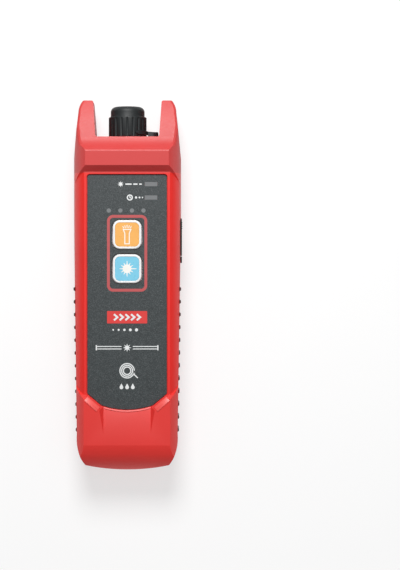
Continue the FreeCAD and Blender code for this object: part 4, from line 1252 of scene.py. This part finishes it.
@dataclass
class BumperBars(Assembly):
    """Raised bars along the lower corners of the face panel, and a bead between them, in a pale red that is a
    painted highlight.

    Attributes:
        ends: Ends of the right bar's middle line.
        wide: Width of a bar.
        under: Height of its underside, which lies inside the shell.
        heights: Heights of its outer and its inner edge.
        edge: Rounding of its edges.
        arc_round: Radius of the panel's bowed lower edge.
        arc_half: Half the width of the bead along that edge.
        arc_gap: From the panel's edge to the middle of the bead.
        bead_wide: Width of the bead.
        bead_deep: How far the bead reaches below and, at first, above the bars' underside.
        bead_rise: How far its outer and its inner edge stand above the shell.
        above: Height over the bead from which the shell is looked for.
    """

    ends: tuple[Point, Point] = (mm(16.6, -45.6), mm(11.5, -50.15))
    wide: float = 2.3 * MM
    under: float = 23.7 * MM
    heights: Point = mm(25.8, 24.85)
    edge: float = 0.34 * MM
    arc_round: float = 31.0 * MM
    arc_half: float = 9.3 * MM
    arc_gap: float = 0.62 * MM
    bead_wide: float = 0.55 * MM
    bead_deep: float = 1.0 * MM
    bead_rise: Point = mm(0.30, 0.08)
    above: float = 10.0 * MM

    def bar(self, side: int) -> Mesh:
        """Make one rounded bar.

        Args:
            side: 1 for the right bar and -1 for the left.

        Returns:
            Its closed mesh.
        """
        far, near = (Vector((side * x, y)) for x, y in self.ends)
        along = (near - far).normalized()
        inward = Vector((along.y, -along.x)) * side * self.wide / 2
        high, low = self.heights
        corners = ((-1, self.under), (1, self.under), (1, low), (-1, high))
        rings = [[(*(end + sign * inward), z) for sign, z in corners] for end in (far, near)]
        build = skin(rings)
        bmesh.ops.recalc_face_normals(build, faces=build.faces)
        bmesh.ops.bevel(build, geom=build.edges[:], offset=self.edge, segments=3, profile=0.5, affect="EDGES")
        return mesh_from(build, "bar")

    def bead(self) -> Mesh:
        """Make the thin bead along the panel's lower edge, tilted on the shell.

        Returns:
            Its closed mesh.
        """
        shell = frame["nodes"]["front_housing"].data
        tree = BVHTree.FromPolygons([v.co for v in shell.vertices], [p.vertices for p in shell.polygons])
        centre = (0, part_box("face_panel")[0].y + self.arc_round)
        radius = self.arc_round + self.arc_gap
        reach = math.asin(self.arc_half / radius)
        path = arc(centre, radius, 24, -CIRCLE / 4 - reach, 2 * reach)
        low, high = self.under - self.bead_deep, self.under + self.bead_deep
        mesh = ribbon(path, self.bead_wide, low, high, False, "bead")
        for vertex in mesh.vertices:
            if vertex.co.z > self.under:
                outer = math.hypot(vertex.co.x, vertex.co.y - centre[1]) > radius
                top = tree.ray_cast(vertex.co + Vector((0, 0, self.above)), Vector((0, 0, -1)))[0].z
                vertex.co.z = top + self.bead_rise[0 if outer else 1]
        return mesh

    def build(self) -> None:
        """Put one bar on each side and the bead between them."""
        bars = joined([self.bar(1), self.bar(-1), self.bead()], "bumper_bars")
        show(bars, BAR_PAINTED_HIGHLIGHT, Body.CASE)


@dataclass
class PanelPrint(Assembly):
    """Printed marks on the face panel.

    Attributes:
        ink: Height of the ink over the film.
        sink: How far its underside lies in the film.
        outline: Line width of the outline round the keys.
        outline_round: Corner radius of that outline.
        across: From the keys to the outline on both sides.
        above: From the upper key to the outline.
        below: From the lower key to the outline.
        bar: Size of the plain red bar.
        bar_round: Radius of its corners.
        bar_gap: From the lower key to the bar's middle.
        arrows: Middles of the arrows on the bar.
        arrow_half: Half the length and half the height of an arrow.
        line: Width of a thin line.
        firm: Width of a firmer line.
        bold: Width of a bold line.
        heavy: Width of the arrows' line.
        label_reach: From the upper and the lower window's left edge to the far end of its mark.
        label_half: From that end to the middle of the mark's first sign.
        spark: Radii of the spark's tips and notches.
        dashes: Start and length of each dash beside it.
        clock: Radius of the clock.
        hands: Length of its upright hand, and reach and drop of the other.
        echoes: Place and radius of each dot beside it.
        charge_start: Place of the first charge dot, from the middle and from the keys.
        charge_step: From one charge dot to the next.
        charge_round: Radius of a charge dot.
        levels: Places of the growing dots.
        level_gap: From the bar to the growing dots.
        level_round: Radius of the first, and how much wider each next one is.
        fibre_gap: From the bar to the fibre mark.
        fibre: Where each half of the fibre starts and ends.
        fibre_half: Half the fibre's width.
        stop: Place and half the length of the line across each end.
        leak: Radii of the leaking light's tips and notches.
        coil_gap: From the bar to the coil.
        coil: Radii of its rings.
        coil_end: Corners of its loose end, from the middle of the coil.
        drop_gap: From the bar to the drops.
        drops: Middles of the drops.
        drop_round: Radius of a drop.
        drop_turn: Angle in degrees at which a drop's round end starts, and how far it turns.
        drop_tip: From its middle to its tip.
    """

    ink: float = 0.03 * MM
    sink: float = 0.002 * MM
    outline: float = 1.15 * MM
    outline_round: float = 1.9 * MM
    across: float = 0.95 * MM
    above: float = 0.75 * MM
    below: float = 2.05 * MM
    bar: Point = mm(16.2, 5.0)
    bar_round: float = 0.25 * MM
    bar_gap: float = 12.95 * MM
    arrows: tuple[float, ...] = mm(-4.6, -2.3, 0.0, 2.3, 4.6)
    arrow_half: Point = mm(0.7, 1.2)
    line: float = 0.34 * MM
    firm: float = 1.3 * 0.34 * MM
    bold: float = 1.5 * 0.34 * MM
    heavy: float = 2.2 * 0.34 * MM
    label_reach: Point = mm(10.9, 7.2)
    label_half: float = 1.2 * MM
    spark: Point = mm(1.25, 0.55)
    dashes: tuple[Point, ...] = (mm(1.9, 2.5), mm(5.1, 1.7), mm(7.5, 1.0))
    clock: float = 1.0 * MM
    hands: Three = mm(0.7, 0.55, 0.25)
    echoes: tuple[Point, ...] = (mm(2.5, 0.46), mm(3.9, 0.36), mm(5.1, 0.26))
    charge_start: Point = mm(-7.4, 3.1)
    charge_step: float = 4.67 * MM
    charge_round: float = 0.87 * MM
    levels: tuple[float, ...] = mm(-5.6, -3.4, -1.1, 1.3, 3.8)
    level_gap: float = 5.1 * MM
    level_round: Point = mm(0.34, 0.075)
    fibre_gap: float = 12.3 * MM
    fibre: Point = mm(2.3, 12.2)
    fibre_half: float = 0.5 * MM
    stop: Point = mm(12.4, 1.05)
    leak: Point = mm(1.7, 0.7)
    coil_gap: float = 21.6 * MM
    coil: tuple[float, ...] = mm(1.5, 2.2, 2.9)
    coil_end: tuple[Point, ...] = (mm(2.9, 0.0), mm(2.9, -1.6), mm(4.3, -2.9))
    drop_gap: float = 28.3 * MM
    drops: tuple[float, ...] = mm(-2.3, 0.0, 2.3)
    drop_round: float = 0.75 * MM
    drop_turn: Point = (155.0, 230.0)
    drop_tip: float = 1.6 * MM

    def __post_init__(self) -> None:
        """Find the film's surface, the keys and the bar's middle."""
        self.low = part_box("face_panel")[1].z - self.sink
        keys = [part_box(node) for node in ("torch_key", "laser_key")]
        self.key_low = Vector([min(low[i] for low, _ in keys) for i in range(3)])
        self.key_high = Vector([max(high[i] for _, high in keys) for i in range(3)])
        self.middle = self.key_low.y - self.bar_gap

    def put(self, marks: list[Mesh], name: str, finish: Finish) -> None:
        """Show printed marks as one piece on the case."""
        show(joined(marks, name), finish, Body.CASE)

    def stroke(self, path: list[Point], width: float, closed: bool = False) -> Mesh:
        """Raised ink line along a path."""
        return ribbon(path, width, self.low, self.low + self.ink, closed, "ink_line")

    def solid(self, outline: list[Point]) -> Mesh:
        """Raised ink area inside an outline."""
        return plate(outline, self.low, self.low + self.ink, "ink_area")

    def key_outline(self) -> None:
        """Rounded line round both keys."""
        left, right = self.key_low.x - self.across, self.key_high.x + self.across
        near, far = self.key_low.y - self.below, self.key_high.y + self.above
        centre, size = ((left + right) / 2, (near + far) / 2), (right - left, far - near)
        path = rounded_box(centre, size, self.outline_round, 8)
        self.put([self.stroke(path, self.outline, True)], "key_outline_print", INK_DUSTY)

    def red_bar(self) -> None:
        """Bar below the keys with a plain arrow row."""
        outline = rounded_box((0, self.middle), self.bar, self.bar_round, 3)
        self.put([self.solid(outline)], "red_bar_print", INK_RED)
        self.low += self.ink
        half, rise = self.arrow_half
        marks = []
        for x in self.arrows:
            path = [(x - half, self.middle - rise), (x + half, self.middle), (x - half, self.middle + rise)]
            marks.append(self.stroke(path, self.heavy))
        self.put(marks, "bar_arrows_print", INK_WHITE)
        self.low -= self.ink

    def beam_mark(self) -> None:
        """Spark and dashed beam, left of the upper window."""
        x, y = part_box("laser_window")[0].x - self.label_reach[0] + self.label_half, middle("laser_window").y
        marks = [self.solid(star((x, y), *self.spark))]
        for start, length in self.dashes:
            marks.append(self.stroke([(x + start, y), (x + start + length, y)], self.bold))
        self.put(marks, "beam_mark_print", INK_WHITE)

    def timer_mark(self) -> None:
        """Clock with fading dots, left of the lower window."""
        x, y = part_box("power_window")[0].x - self.label_reach[1] + self.label_half, middle("power_window").y
        rise, reach, drop = self.hands
        marks = [self.stroke(arc((x, y), self.clock, 28), self.firm, True),
                 self.stroke([(x, y + rise), (x, y), (x + reach, y - drop)], self.line)]
        for along, radius in self.echoes:
            marks.append(self.solid(arc((x + along, y), radius, 16)))
        self.put(marks, "timer_mark_print", INK_WHITE)

    def charge_dots(self) -> None:
        """Four grey dots over the outline, where the film lets the charge lights through."""
        x, above = self.charge_start
        start = Vector((x, self.key_high.y + above, self.low))
        dots = DiscRow().mesh("charge_dots_print", INK_GREY, 4, start, Vector((self.charge_step, 0, 0)),
                              radius=self.charge_round, high=2 * self.ink)
        show(dots, INK_GREY, Body.CASE)

    def level_dots(self) -> None:
        """Row of small dots that grow, below the bar."""
        y = self.middle - self.level_gap
        first, growth = self.level_round
        marks = [self.solid(arc((x, y), first + growth * i, 18)) for i, x in enumerate(self.levels)]
        self.put(marks, "level_dots_print", INK_WHITE)

    def fibre_mark(self) -> None:
        """Fibre line with light leaking where it is broken."""
        y = self.middle - self.fibre_gap
        end, half = self.stop
        marks = []
        for side in (-1, 1):
            for level in (y - self.fibre_half, y + self.fibre_half):
                marks.append(self.stroke([(side * x, level) for x in self.fibre], self.line))
            marks.append(self.stroke([(side * end, y - half), (side * end, y + half)], self.bold))
        marks.append(self.solid(star((0, y), *self.leak)))
        self.put(marks, "fibre_mark_print", INK_WHITE)

    def coil_mark(self) -> None:
        """Coil of fibre as three rings with one loose end, lower down."""
        y = self.middle - self.coil_gap
        marks = [self.stroke(arc((0, y), radius, 40), self.firm, True) for radius in self.coil]
        marks.append(self.stroke([(x, y + rise) for x, rise in self.coil_end], self.firm))
        self.put(marks, "coil_mark_print", INK_WHITE)

    def drop_mark(self) -> None:
        """Three small drops at the foot of the panel."""
        y = self.middle - self.drop_gap
        start, turn = (math.radians(angle) for angle in self.drop_turn)
        marks = []
        for x in self.drops:
            belly = arc((x, y), self.drop_round, 20, start, turn)
            marks.append(self.solid([*belly, (x, y + self.drop_tip)]))
        self.put(marks, "drop_mark_print", INK_WHITE)

    def build(self) -> None:
        """Print every mark."""
        for mark in (self.key_outline, self.red_bar, self.beam_mark, self.timer_mark, self.charge_dots,
                     self.level_dots, self.fibre_mark, self.coil_mark, self.drop_mark):
            mark()


@dataclass
class Keys(Assembly):
    """Torch and laser keys with their printed icons.

    Attributes:
        edge: Rounding of the cap's edges.
        ink: Height of the icon over the coloured field.
        sink: How far its underside lies in the field.
        line: Line width of the icons.
        torch: Right half of the torch's outline, from its foot up.
        ray_foot: Height of the middle from which the rays spread.
        ray_step: Distance between the feet of two rays.
        ray_lean: Angle between two rays in degrees.
        ray: Where a ray starts and ends from its foot.
        ray_less: How much shorter each ray is than the next one inward.
        core: Radius of the spark's round middle.
        spikes: Lengths of the spark's spikes, counter-clockwise from the right.
    """

    edge: float = 0.14 * MM
    ink: float = 0.03 * MM
    sink: float = 0.002 * MM
    line: float = 0.38 * MM
    torch: tuple[Point, ...] = (mm(0.9, -3.75), mm(0.9, 0.5), mm(1.55, 2.05))
    ray_foot: float = 1.55 * MM
    ray_step: float = 0.36 * MM
    ray_lean: float = 15.0
    ray: Point = mm(1.1, 2.35)
    ray_less: float = 0.14 * MM
    core: float = 1.75 * MM
    spikes: tuple[float, ...] = mm(3.8, 2.75, 2.65, 3.15, 2.65, 2.75, 3.0, 2.75, 2.65, 3.15, 2.65, 2.75)

    def torch_icon(self, x: float, y: float, low: float) -> Mesh:
        """Make a flared torch in outline under a fan of rays.

        Args:
            x: Middle of the key along X.
            y: Middle of the key along Y.
            low: Height of the underside.

        Returns:
            The icon.
        """
        right = [(x + across, y + up) for across, up in self.torch]
        outline = right + [(2 * x - across, up) for across, up in reversed(right)]
        paths = [(outline, self.line, True)]
        for i in range(-2, 3):
            lean = math.radians(90 - self.ray_lean * i)
            foot = Vector((x + i * self.ray_step, y + self.ray_foot))
            reach = (self.ray[0], self.ray[1] - self.ray_less * abs(i))
            ends = [foot + length * Vector((math.cos(lean), math.sin(lean))) for length in reach]
            paths.append((ends, 0.8 * self.line, False))
        marks = [ribbon(path, width, low, low + self.ink, closed, "key_icon_line")
                 for path, width, closed in paths]
        return joined(marks, "torch_icon_print")

    def spark_icon(self, x: float, y: float, low: float) -> Mesh:
        """Make a round core with twelve short spikes, longer along both axes and longest to the right.

        Args:
            x: Middle of the key along X.
            y: Middle of the key along Y.
            low: Height of the underside.

        Returns:
            The icon.
        """
        foot, tip = 0.13, 0.035  # half the angle of a spike at its foot and at its tip
        corners = []
        for i, spike in enumerate(self.spikes):
            lean = CIRCLE * i / len(self.spikes)
            for turn, radius in ((-foot, self.core), (-tip, spike), (tip, spike), (foot, self.core)):
                corners.append((x + radius * math.cos(lean + turn), y + radius * math.sin(lean + turn)))
        return plate(corners, low, low + self.ink, "spark_icon_print")

    def build(self) -> None:
        """Soften the caps and print their icons."""
        for kind, body, icon in (("torch", Body.TORCH_KEY, self.torch_icon),
                                 ("laser", Body.LASER_KEY, self.spark_icon)):
            centre, top = middle(f"{kind}_key_inlay"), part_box(f"{kind}_key_inlay")[1].z
            show(icon(centre.x, centre.y, top - self.sink), KEY_MARK, body)
            Softener(self.edge).make(f"{kind}_key", body, KEY_WHITE, "key_white")


@dataclass
class NoseCap(Assembly):
    """Rubber dust cap with its collar and soft strap.

    Attributes:
        skirt: Length of the fluted skirt.
        slack: How far the skirt stays inside its solid.
        crown_step: How much smaller the crown's radius is.
        crown_round: Rounding of the crown's rim.
        flute_depth: Depth of a flute.
        bore: Radius of the bore.
        bore_length: Depth of the bore.
        hug: How far the collar's inner and outer faces lie outside the cap's solid.
        collar_ends: From the cap's foot to the collar, and from the strap's end to the collar.
        collar_turn: Angles in degrees at which the collar starts and ends.
        taper: How much the collar narrows on each side at its end.
        band: Thickness of the strap.
        bend: Radius of the strap's bend.
        lip: Rounding of the strap's edges.
        sag: How far the strap's upper edge is drawn in.
        reach: From the end wall to the strap.
        foot_rise: Height of the strap's foot over its solid's underside.
        foot_round: Radius of the foot.
        peg_round: Radius of the peg.
        peg_in: How far the foot lies nearer to the middle than the strap.
    """

    skirt: float = 8.1 * MM
    slack: float = 0.15 * MM
    crown_step: float = 0.8 * MM
    crown_round: float = 2.1 * MM
    flute_depth: float = 0.34 * MM
    bore: float = 5.15 * MM
    bore_length: float = 10.4 * MM
    hug: Point = mm(0.04, 0.45)
    collar_ends: Point = mm(0.75, 0.3)
    collar_turn: Point = (4.0, 66.0)
    taper: float = 0.75 * MM
    band: float = 1.5 * MM
    bend: float = 1.9 * MM
    lip: float = 0.25 * MM
    sag: float = 0.16 * MM
    reach: float = 2.6 * MM
    foot_rise: float = 1.9 * MM
    foot_round: float = 1.65 * MM
    peg_round: float = 0.9 * MM
    peg_in: float = 0.35 * MM

    def build(self) -> None:
        """Make the cap, its collar and its strap."""
        self.cap()
        self.collar()
        self.strap()

    def cap(self) -> None:
        """Fluted skirt, rounded step and rounded crown over the bore."""
        low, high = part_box("dust_cap")
        centre = middle("dust_cap")
        wide, depth = (high.x - low.x) / 2 - self.slack, self.flute_depth
        foot, step, crown = low.y, low.y + self.skirt, wide - self.crown_step
        profile = [(foot + self.bore_length, 0), (foot + self.bore_length, self.bore), (foot, self.bore)]
        small, large = mm(0.1, 0.35)  # the two steps of a rounded edge
        profile += [(foot, wide - large), (foot + small, wide - small, 0.3 * depth),
                    (foot + large, wide, depth), (step - 1.3 * MM, wide, depth),
                    (step - 0.7 * MM, wide, 0.6 * depth), (step - large, wide),
                    (step - small, wide - small), (step, wide - large), (step + small, crown + small),
                    (step + 0.4 * MM, crown)]
        round_off = self.crown_round
        rim = arc((high.y - round_off, crown - round_off), round_off, 8, CIRCLE / 4, -CIRCLE / 4)
        dimple = high.y - 0.12 * MM
        profile += [*rim, (high.y, 0.5 * crown), (dimple, 0.42 * crown), (dimple, 0)]
        shape = Turned((centre.x, centre.z), steps=280, flutes=20, flute_half=0.07)
        mesh = shape.mesh(profile, "dust_cap_moulded")
        show(mesh, CAP_RUBBER, Body.DUST_CAP, "dust_cap")

    def collar(self) -> None:
        """Tab of the strap that hugs the front of the skirt."""
        low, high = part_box("dust_cap")
        centre = middle("dust_cap")
        inner, outer = ((high.x - low.x) / 2 + gap for gap in self.hug)
        near, far = low.y + self.collar_ends[0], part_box("cap_strap")[1].y + self.collar_ends[1]
        first, last = self.collar_turn
        steps, tail, slope = 20, 0.15, 0.15 * MM
        rings = []
        for share in [i / steps for i in range(steps + 1)]:
            angle = math.radians(first + (last - first) * share)
            narrow = self.taper * max(0.0, share - (1 - tail)) / tail
            corners = ((inner, near + narrow), (outer, near + slope + narrow),
                       (outer, far - slope - narrow), (inner, far - narrow))
            rings.append([(centre.x + reach * math.cos(angle), y, centre.z + reach * math.sin(angle))
                          for reach, y in corners])
        show(mesh_from(skin(rings), "cap_collar"), STRAP_RUBBER, Body.DUST_CAP)

    def strap(self) -> None:
        """Strap from the cap's side to its foot in the end wall."""
        low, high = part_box("cap_strap")
        near, far, lip, half, bend = low.y + self.reach, high.y, self.lip, self.band / 2, self.bend
        inset = half + 0.1 * MM
        top, side = high.z - inset, high.x - inset
        foot = (side, low.z + self.foot_rise)
        path = [(low.x + 0.1 * MM, top), (low.x + 1.2 * MM, top - 0.05 * MM)]
        path += arc((side - bend, top - bend), bend, 6, CIRCLE / 4, -CIRCLE / 4)
        path += [(side, top - bend + (foot[1] - top + bend) * i / 8) for i in range(1, 9)]
        points = [Vector(point) for point in path]
        rings = []
        for i, point in enumerate(points):
            ahead = (points[min(i + 1, len(points) - 1)] - points[max(i - 1, 0)]).normalized()
            across = Vector((-ahead.y, ahead.x))
            end = far - self.sag * math.sin(math.pi * min(1.0, i / 8))
            ring = []
            for out, y in ((-half + lip, near), (half - lip, near), (half, near + lip), (half, end - lip),
                           (half - lip, end), (-half + lip, end), (-half, end - lip), (-half, near + lip)):
                at = point + across * out
                ring.append((at.x, y, at.y))
            rings.append(ring)
        piece = new_object("cap_strap_moulded", mesh_from(skin(rings), "cap_strap_moulded"), STRAP_RUBBER)
        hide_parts("cap_strap")
        y = (near + far) / 2
        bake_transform(piece)
        self.peg(foot, low.y, near)

    def peg(self, foot: Point, low: float, near: float) -> None:
        """Round foot of the strap with its peg in the end wall.

        Args:
            foot: Where the strap ends in X and Z.
            low: Where the peg ends along Y.
            near: Where the foot starts along Y.
        """
        small, wide, far = 0.2 * MM, self.foot_round, near + 1.1 * MM
        profile = [(low, 0), (low, self.peg_round), (near, self.peg_round), (near, wide - small),
                   (near + small, wide), (far - small, wide), (far, wide - small), (far, 0)]
        mesh = Turned((foot[0] - self.peg_in, foot[1]), steps=32).mesh(profile, "strap_foot")
        show(mesh, STRAP_RUBBER, Body.CASE)


@dataclass
class Torch(Assembly):
    """White torch lamp: clear dome over its lit chip.

    Attributes:
        dome: Length of the dome.
        chip: From the dome's foot down to the reflector's mouth.
        cup: Depth of the reflector.
        edge: Rounding of the bezel's edges.
    """

    dome: float = 2.4 * MM
    chip: float = 0.6 * MM
    cup: float = 0.6 * MM
    edge: float = 0.12 * MM

    def build(self) -> None:
        """Make the clear lamp and the chip in it, and soften the bezel."""
        low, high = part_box("torch_led")
        centre, wide = middle("torch_led"), (high.x - low.x) / 2
        base, shoulder = low.y + 0.4 * MM, high.y - self.dome
        mouth = shoulder - self.chip
        well = mouth - self.cup
        rise = [CIRCLE / 4 * i / 10 for i in range(1, 10)]
        dome = [(low.y, 0), (low.y, wide), (shoulder, wide)]
        dome += [(shoulder + self.dome * math.sin(turn), wide * math.cos(turn)) for turn in rise]
        shapes = (
            ("torch_dome", RESIN, 48, "lamp_clear", "torch_led", [*dome, (high.y, 0)]),
            ("torch_reflector", STEEL, 32, "socket_steel", None,
             [(base, 0), (base, 0.6 * wide), (mouth, 0.72 * wide), (mouth, 0.6 * wide),
              (well, 0.34 * wide), (well, 0)]),
            ("torch_phosphor", PHOSPHOR, 24, "key_orange", None,
             [(well + 0.02 * MM, 0), (well + 0.02 * MM, 0.3 * wide), (well + 0.18 * MM, 0.26 * wide),
              (well + 0.22 * MM, 0)]))
        for name, finish, steps, slot, node, profile in shapes:
            mesh = Turned((centre.x, centre.z), steps).mesh(profile, name)
            show(mesh, finish, Body.CASE, node)
        Softener(self.edge).make("torch_bezel", Body.CASE, BLACK_PLASTIC, "switch_black")


@dataclass
class LaserPort(Assembly):
    """Plated adapter and its ceramic sleeve under the cap.

    Attributes:
        edge: Rounding of the adapter's edges.
        sleeve_edge: Rounding of the sleeve's edges.
    """

    edge: float = 0.25 * MM
    sleeve_edge: float = 0.1 * MM

    def build(self) -> None:
        """Soften the turned edges."""
        Softener(self.edge, crease=40).make("adapter_barrel", Body.CASE, NICKEL, "nickel")
        Softener(self.sleeve_edge, crease=40).make("ferrule_sleeve", Body.CASE, CERAMIC, "sleeve_ceramic")


@dataclass
class SideCover(Assembly):
    """Rubber cover of the charging socket, with the socket's contacts under it.

    Attributes:
        edge: Rounding of its edges.
        ribs: From the cover's end to the first rib for the fingernail, and from one rib to the next.
        rib: Rise, width and length of a rib.
        contact_ends: From the tongue's tip to the contacts' middles, and from its side to the first contact.
        contact: Length, width and height of a contact.
    """

    edge: float = 0.2 * MM
    ribs: Point = mm(1.6, 0.8)
    rib: Three = mm(0.24, 0.36, 4.6)
    contact_ends: Point = mm(1.3, 0.8)
    contact: Three = mm(2.3, 0.36, 0.12)

    def build(self) -> None:
        """Soften the cover and its tail and add ribs for the fingernail and the contacts."""
        softener = Softener(self.edge, steps=2, crease=35)
        softener.make("port_cover", Body.PORT_COVER, BLACK_RUBBER, "black_rubber")
        softener.make("port_cover_tail", Body.CASE, BLACK_RUBBER, "black_rubber")
        low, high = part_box("port_cover")
        gap, step = self.ribs
        rise, wide, long = self.rib
        start = Vector((high.x, high.y - gap, middle("port_cover").z))
        ribs = BarRow().mesh("cover_grip_ribs", BLACK_RUBBER, 4, start, Vector((0, -step, 0)),
                             wide=rise, deep=wide, high=long)
        show(ribs, BLACK_RUBBER, Body.PORT_COVER)
        low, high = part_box("usb_socket_tongue")
        tip, aside = self.contact_ends
        long, wide, rise = self.contact
        start, step = Vector((high.x - tip, low.y + aside, low.z)), (high.y - low.y - 2 * aside) / 4
        pins = BarRow().mesh("socket_contacts", GOLD, 5, start, Vector((0, step, 0)),
                             wide=long, deep=wide, high=rise)
        show(pins, GOLD, Body.CASE)


@dataclass
class Fasteners(Assembly):
    """Screws that hold the shells together.

    Attributes:
        near: Half the distance between the two near screws, and their place along Y.
        far: The same for the two far screws.
        seat: From the back to the middle of a screw's head.
        head: Radius and height of the head.
        shank: Radius and length of the shank.
        cross: Length and width of the recess.
    """

    near: Point = mm(13.2, -63.0)
    far: Point = mm(14.6, 51.0)
    seat: float = 2.35 * MM
    head: Point = mm(2.1, 1.6)
    shank: Point = mm(1.0, 13.5)
    cross: Point = mm(2.3, 0.5)

    def build(self) -> None:
        """Set a pair of screws near each end."""
        row = ScrewRow()
        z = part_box("rear_housing")[0].z + self.seat
        sizes = dict(zip(("radius", "high", "shank", "length", "cross", "slot"),
                         (*self.head, *self.shank, *self.cross)))
        for name, (half, y) in (("near", self.near), ("far", self.far)):
            start, step = Vector((-half, y, z)), Vector((2 * half, 0, 0))
            screws = row.mesh(f"{name}_housing_screws", ZINC, 2, start, step, **sizes)
            show(screws, ZINC, Body.CASE)


@dataclass
class BoardDetails(Assembly):
    """Leads of the chips and pins of the battery connector.

    Attributes:
        lead: Length and height of a lead.
        lead_share: Width of a lead as a share of the pitch.
        lead_rise: Height of its middle over the chip's underside.
        pin: Thickness and height of a pin.
        pin_half: Half the distance between the two pins.
    """

    lead: Point = mm(1.1, 0.2)
    lead_share: float = 0.42
    lead_rise: float = 0.12 * MM
    pin: Point = mm(0.7, 1.0)
    pin_half: float = 1.0 * MM

    def leads(self, chip: str, pitch: float, row: BarRow) -> None:
        """Add a row of leads along both long sides of a chip.

        Args:
            chip: Name of the chip's node.
            pitch: From one lead to the next.
            row: Tree that repeats the leads.
        """
        low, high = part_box(chip)
        count = int((high.y - low.y - pitch) / pitch) + 1
        long, rise = self.lead
        for side, x in (("left", low.x), ("right", high.x)):
            start = Vector((x, middle(chip).y - pitch * (count - 1) / 2, low.z + self.lead_rise))
            leads = row.mesh(f"{chip}_{side}_leads", SOLDER, count, start, Vector((0, pitch, 0)),
                             wide=long, deep=self.lead_share * pitch, high=rise)
            show(leads, SOLDER, Body.CASE)

    def build(self) -> None:
        """Add leads and pins."""
        row = BarRow()
        self.leads("controller_chip", 0.65 * MM, row)
        self.leads("charger_chip", 0.95 * MM, row)
        centre = middle("battery_connector")
        start = Vector((centre.x - self.pin_half, centre.y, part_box("main_board")[1].z))
        wide, rise = self.pin
        pins = row.mesh("connector_pins", SOLDER, 2, start, Vector((2 * self.pin_half, 0, 0)),
                        wide=wide, deep=wide, high=rise)
        show(pins, SOLDER, Body.CASE)


# ---------------------------------------------------------------- studio


@dataclass
class Studio(Assembly):
    """Pale floor, soft lights and the camera straight above.

    Attributes:
        span: Height of the picture at the measuring level in metres.
        lens: Focal length in millimetres.
        sensor: Height of the film in millimetres.
        aside: How far the camera stands to the right of the part's middle.
        offset: How far the picture's middle lies to the right of the part's middle.
        level: Height at which the span is measured.
        surround: Strength of the light from all round.
        floor_size: Half the width of the floor.
        floor_gap: From the part down to the floor.
    """

    span: float = 0.232
    lens: float = 120.0
    sensor: float = 36.0
    aside: float = 19.0 * MM
    offset: float = 29.5 * MM
    level: float = 16.0 * MM
    surround: float = 0.22
    floor_size: float = 1.5
    floor_gap: float = 0.05 * MM

    def floor(self) -> None:
        """Floor that the part lies on."""
        build = bmesh.new()
        bmesh.ops.create_grid(build, x_segments=1, y_segments=1, size=self.floor_size)
        bmesh.ops.translate(build, verts=build.verts, vec=(0, 0, CAD_BOX[0].z - self.floor_gap))
        new_object("floor", mesh_from(build, "floor"), FLOOR_PAPER)

    def light(self, name: str, at: Three, size: float, power: float, shine: bool = True) -> None:
        """Area light that points at the part's middle.

        Args:
            name: Name of the light.
            at: Place in metres.
            size: Diameter in metres.
            power: Power in watts.
            shine: Whether it shows in shiny surfaces.
        """
        data = bpy.data.lights.new(name, "AREA")
        data.shape = "DISK"
        data.size = size
        data.energy = power
        lamp = bpy.data.objects.new(name, data)
        bpy.context.scene.collection.objects.link(lamp)
        lamp.location = at
        lamp.visible_glossy = shine
        lamp.rotation_euler = (Vector(at) * -1).to_track_quat("-Z", "Y").to_euler()

    def world(self) -> None:
        """Even surroundings that look white to the camera."""
        world = bpy.data.worlds.new("surroundings")
        world.use_nodes = True
        nodes = NodeTree(world.node_tree)
        background = nodes.tree.nodes["Background"]
        nodes.feed(background.inputs["Color"], (1, 1, 1, 1))
        seen = nodes.add("ShaderNodeLightPath").outputs["Is Camera Ray"]
        level = nodes.add("ShaderNodeMapRange", {"Value": seen, "To Min": self.surround, "To Max": 1.0})
        nodes.feed(background.inputs["Strength"], level.outputs["Result"])
        bpy.context.scene.world = world

    def camera(self) -> None:
        """Long lens straight above, up along the part."""
        data = bpy.data.cameras.new("camera")
        data.lens = self.lens
        data.sensor_width = self.sensor
        data.sensor_fit = "VERTICAL"
        data.sensor_height = self.sensor
        data.shift_x = (self.offset - self.aside) / self.span
        data.clip_start = 0.01
        camera = bpy.data.objects.new("camera", data)
        bpy.context.scene.collection.objects.link(camera)
        camera.location = (self.aside, 0, self.level + self.span * self.lens / self.sensor)
        bpy.context.scene.camera = camera

    def build(self) -> None:
        """Set up floor, lights and camera."""
        self.floor()
        self.light("key_light", at=(-0.02, 0.42, 0.54), size=0.3, power=4.9)
        self.light("fill_light", at=(0.3, 0.05, 0.7), size=0.6, power=0.5)
        self.light("foot_light", at=(0.03, -0.6, 0.09), size=0.3, power=0.7, shine=False)
        self.world()
        self.camera()
        bpy.context.scene.view_settings.view_transform = "Standard"


def main() -> None:
    """Build every group in order."""
    for group in (Studio(), BareNodes(), Housing(), BumperBars(), PanelPrint(), Keys(), NoseCap(), Torch(),
                  LaserPort(), SideCover(), Fasteners(), BoardDetails()):
        group.build()
        LOG.info("%s done", type(group).__name__)


if __name__ == "__main__":
    main()
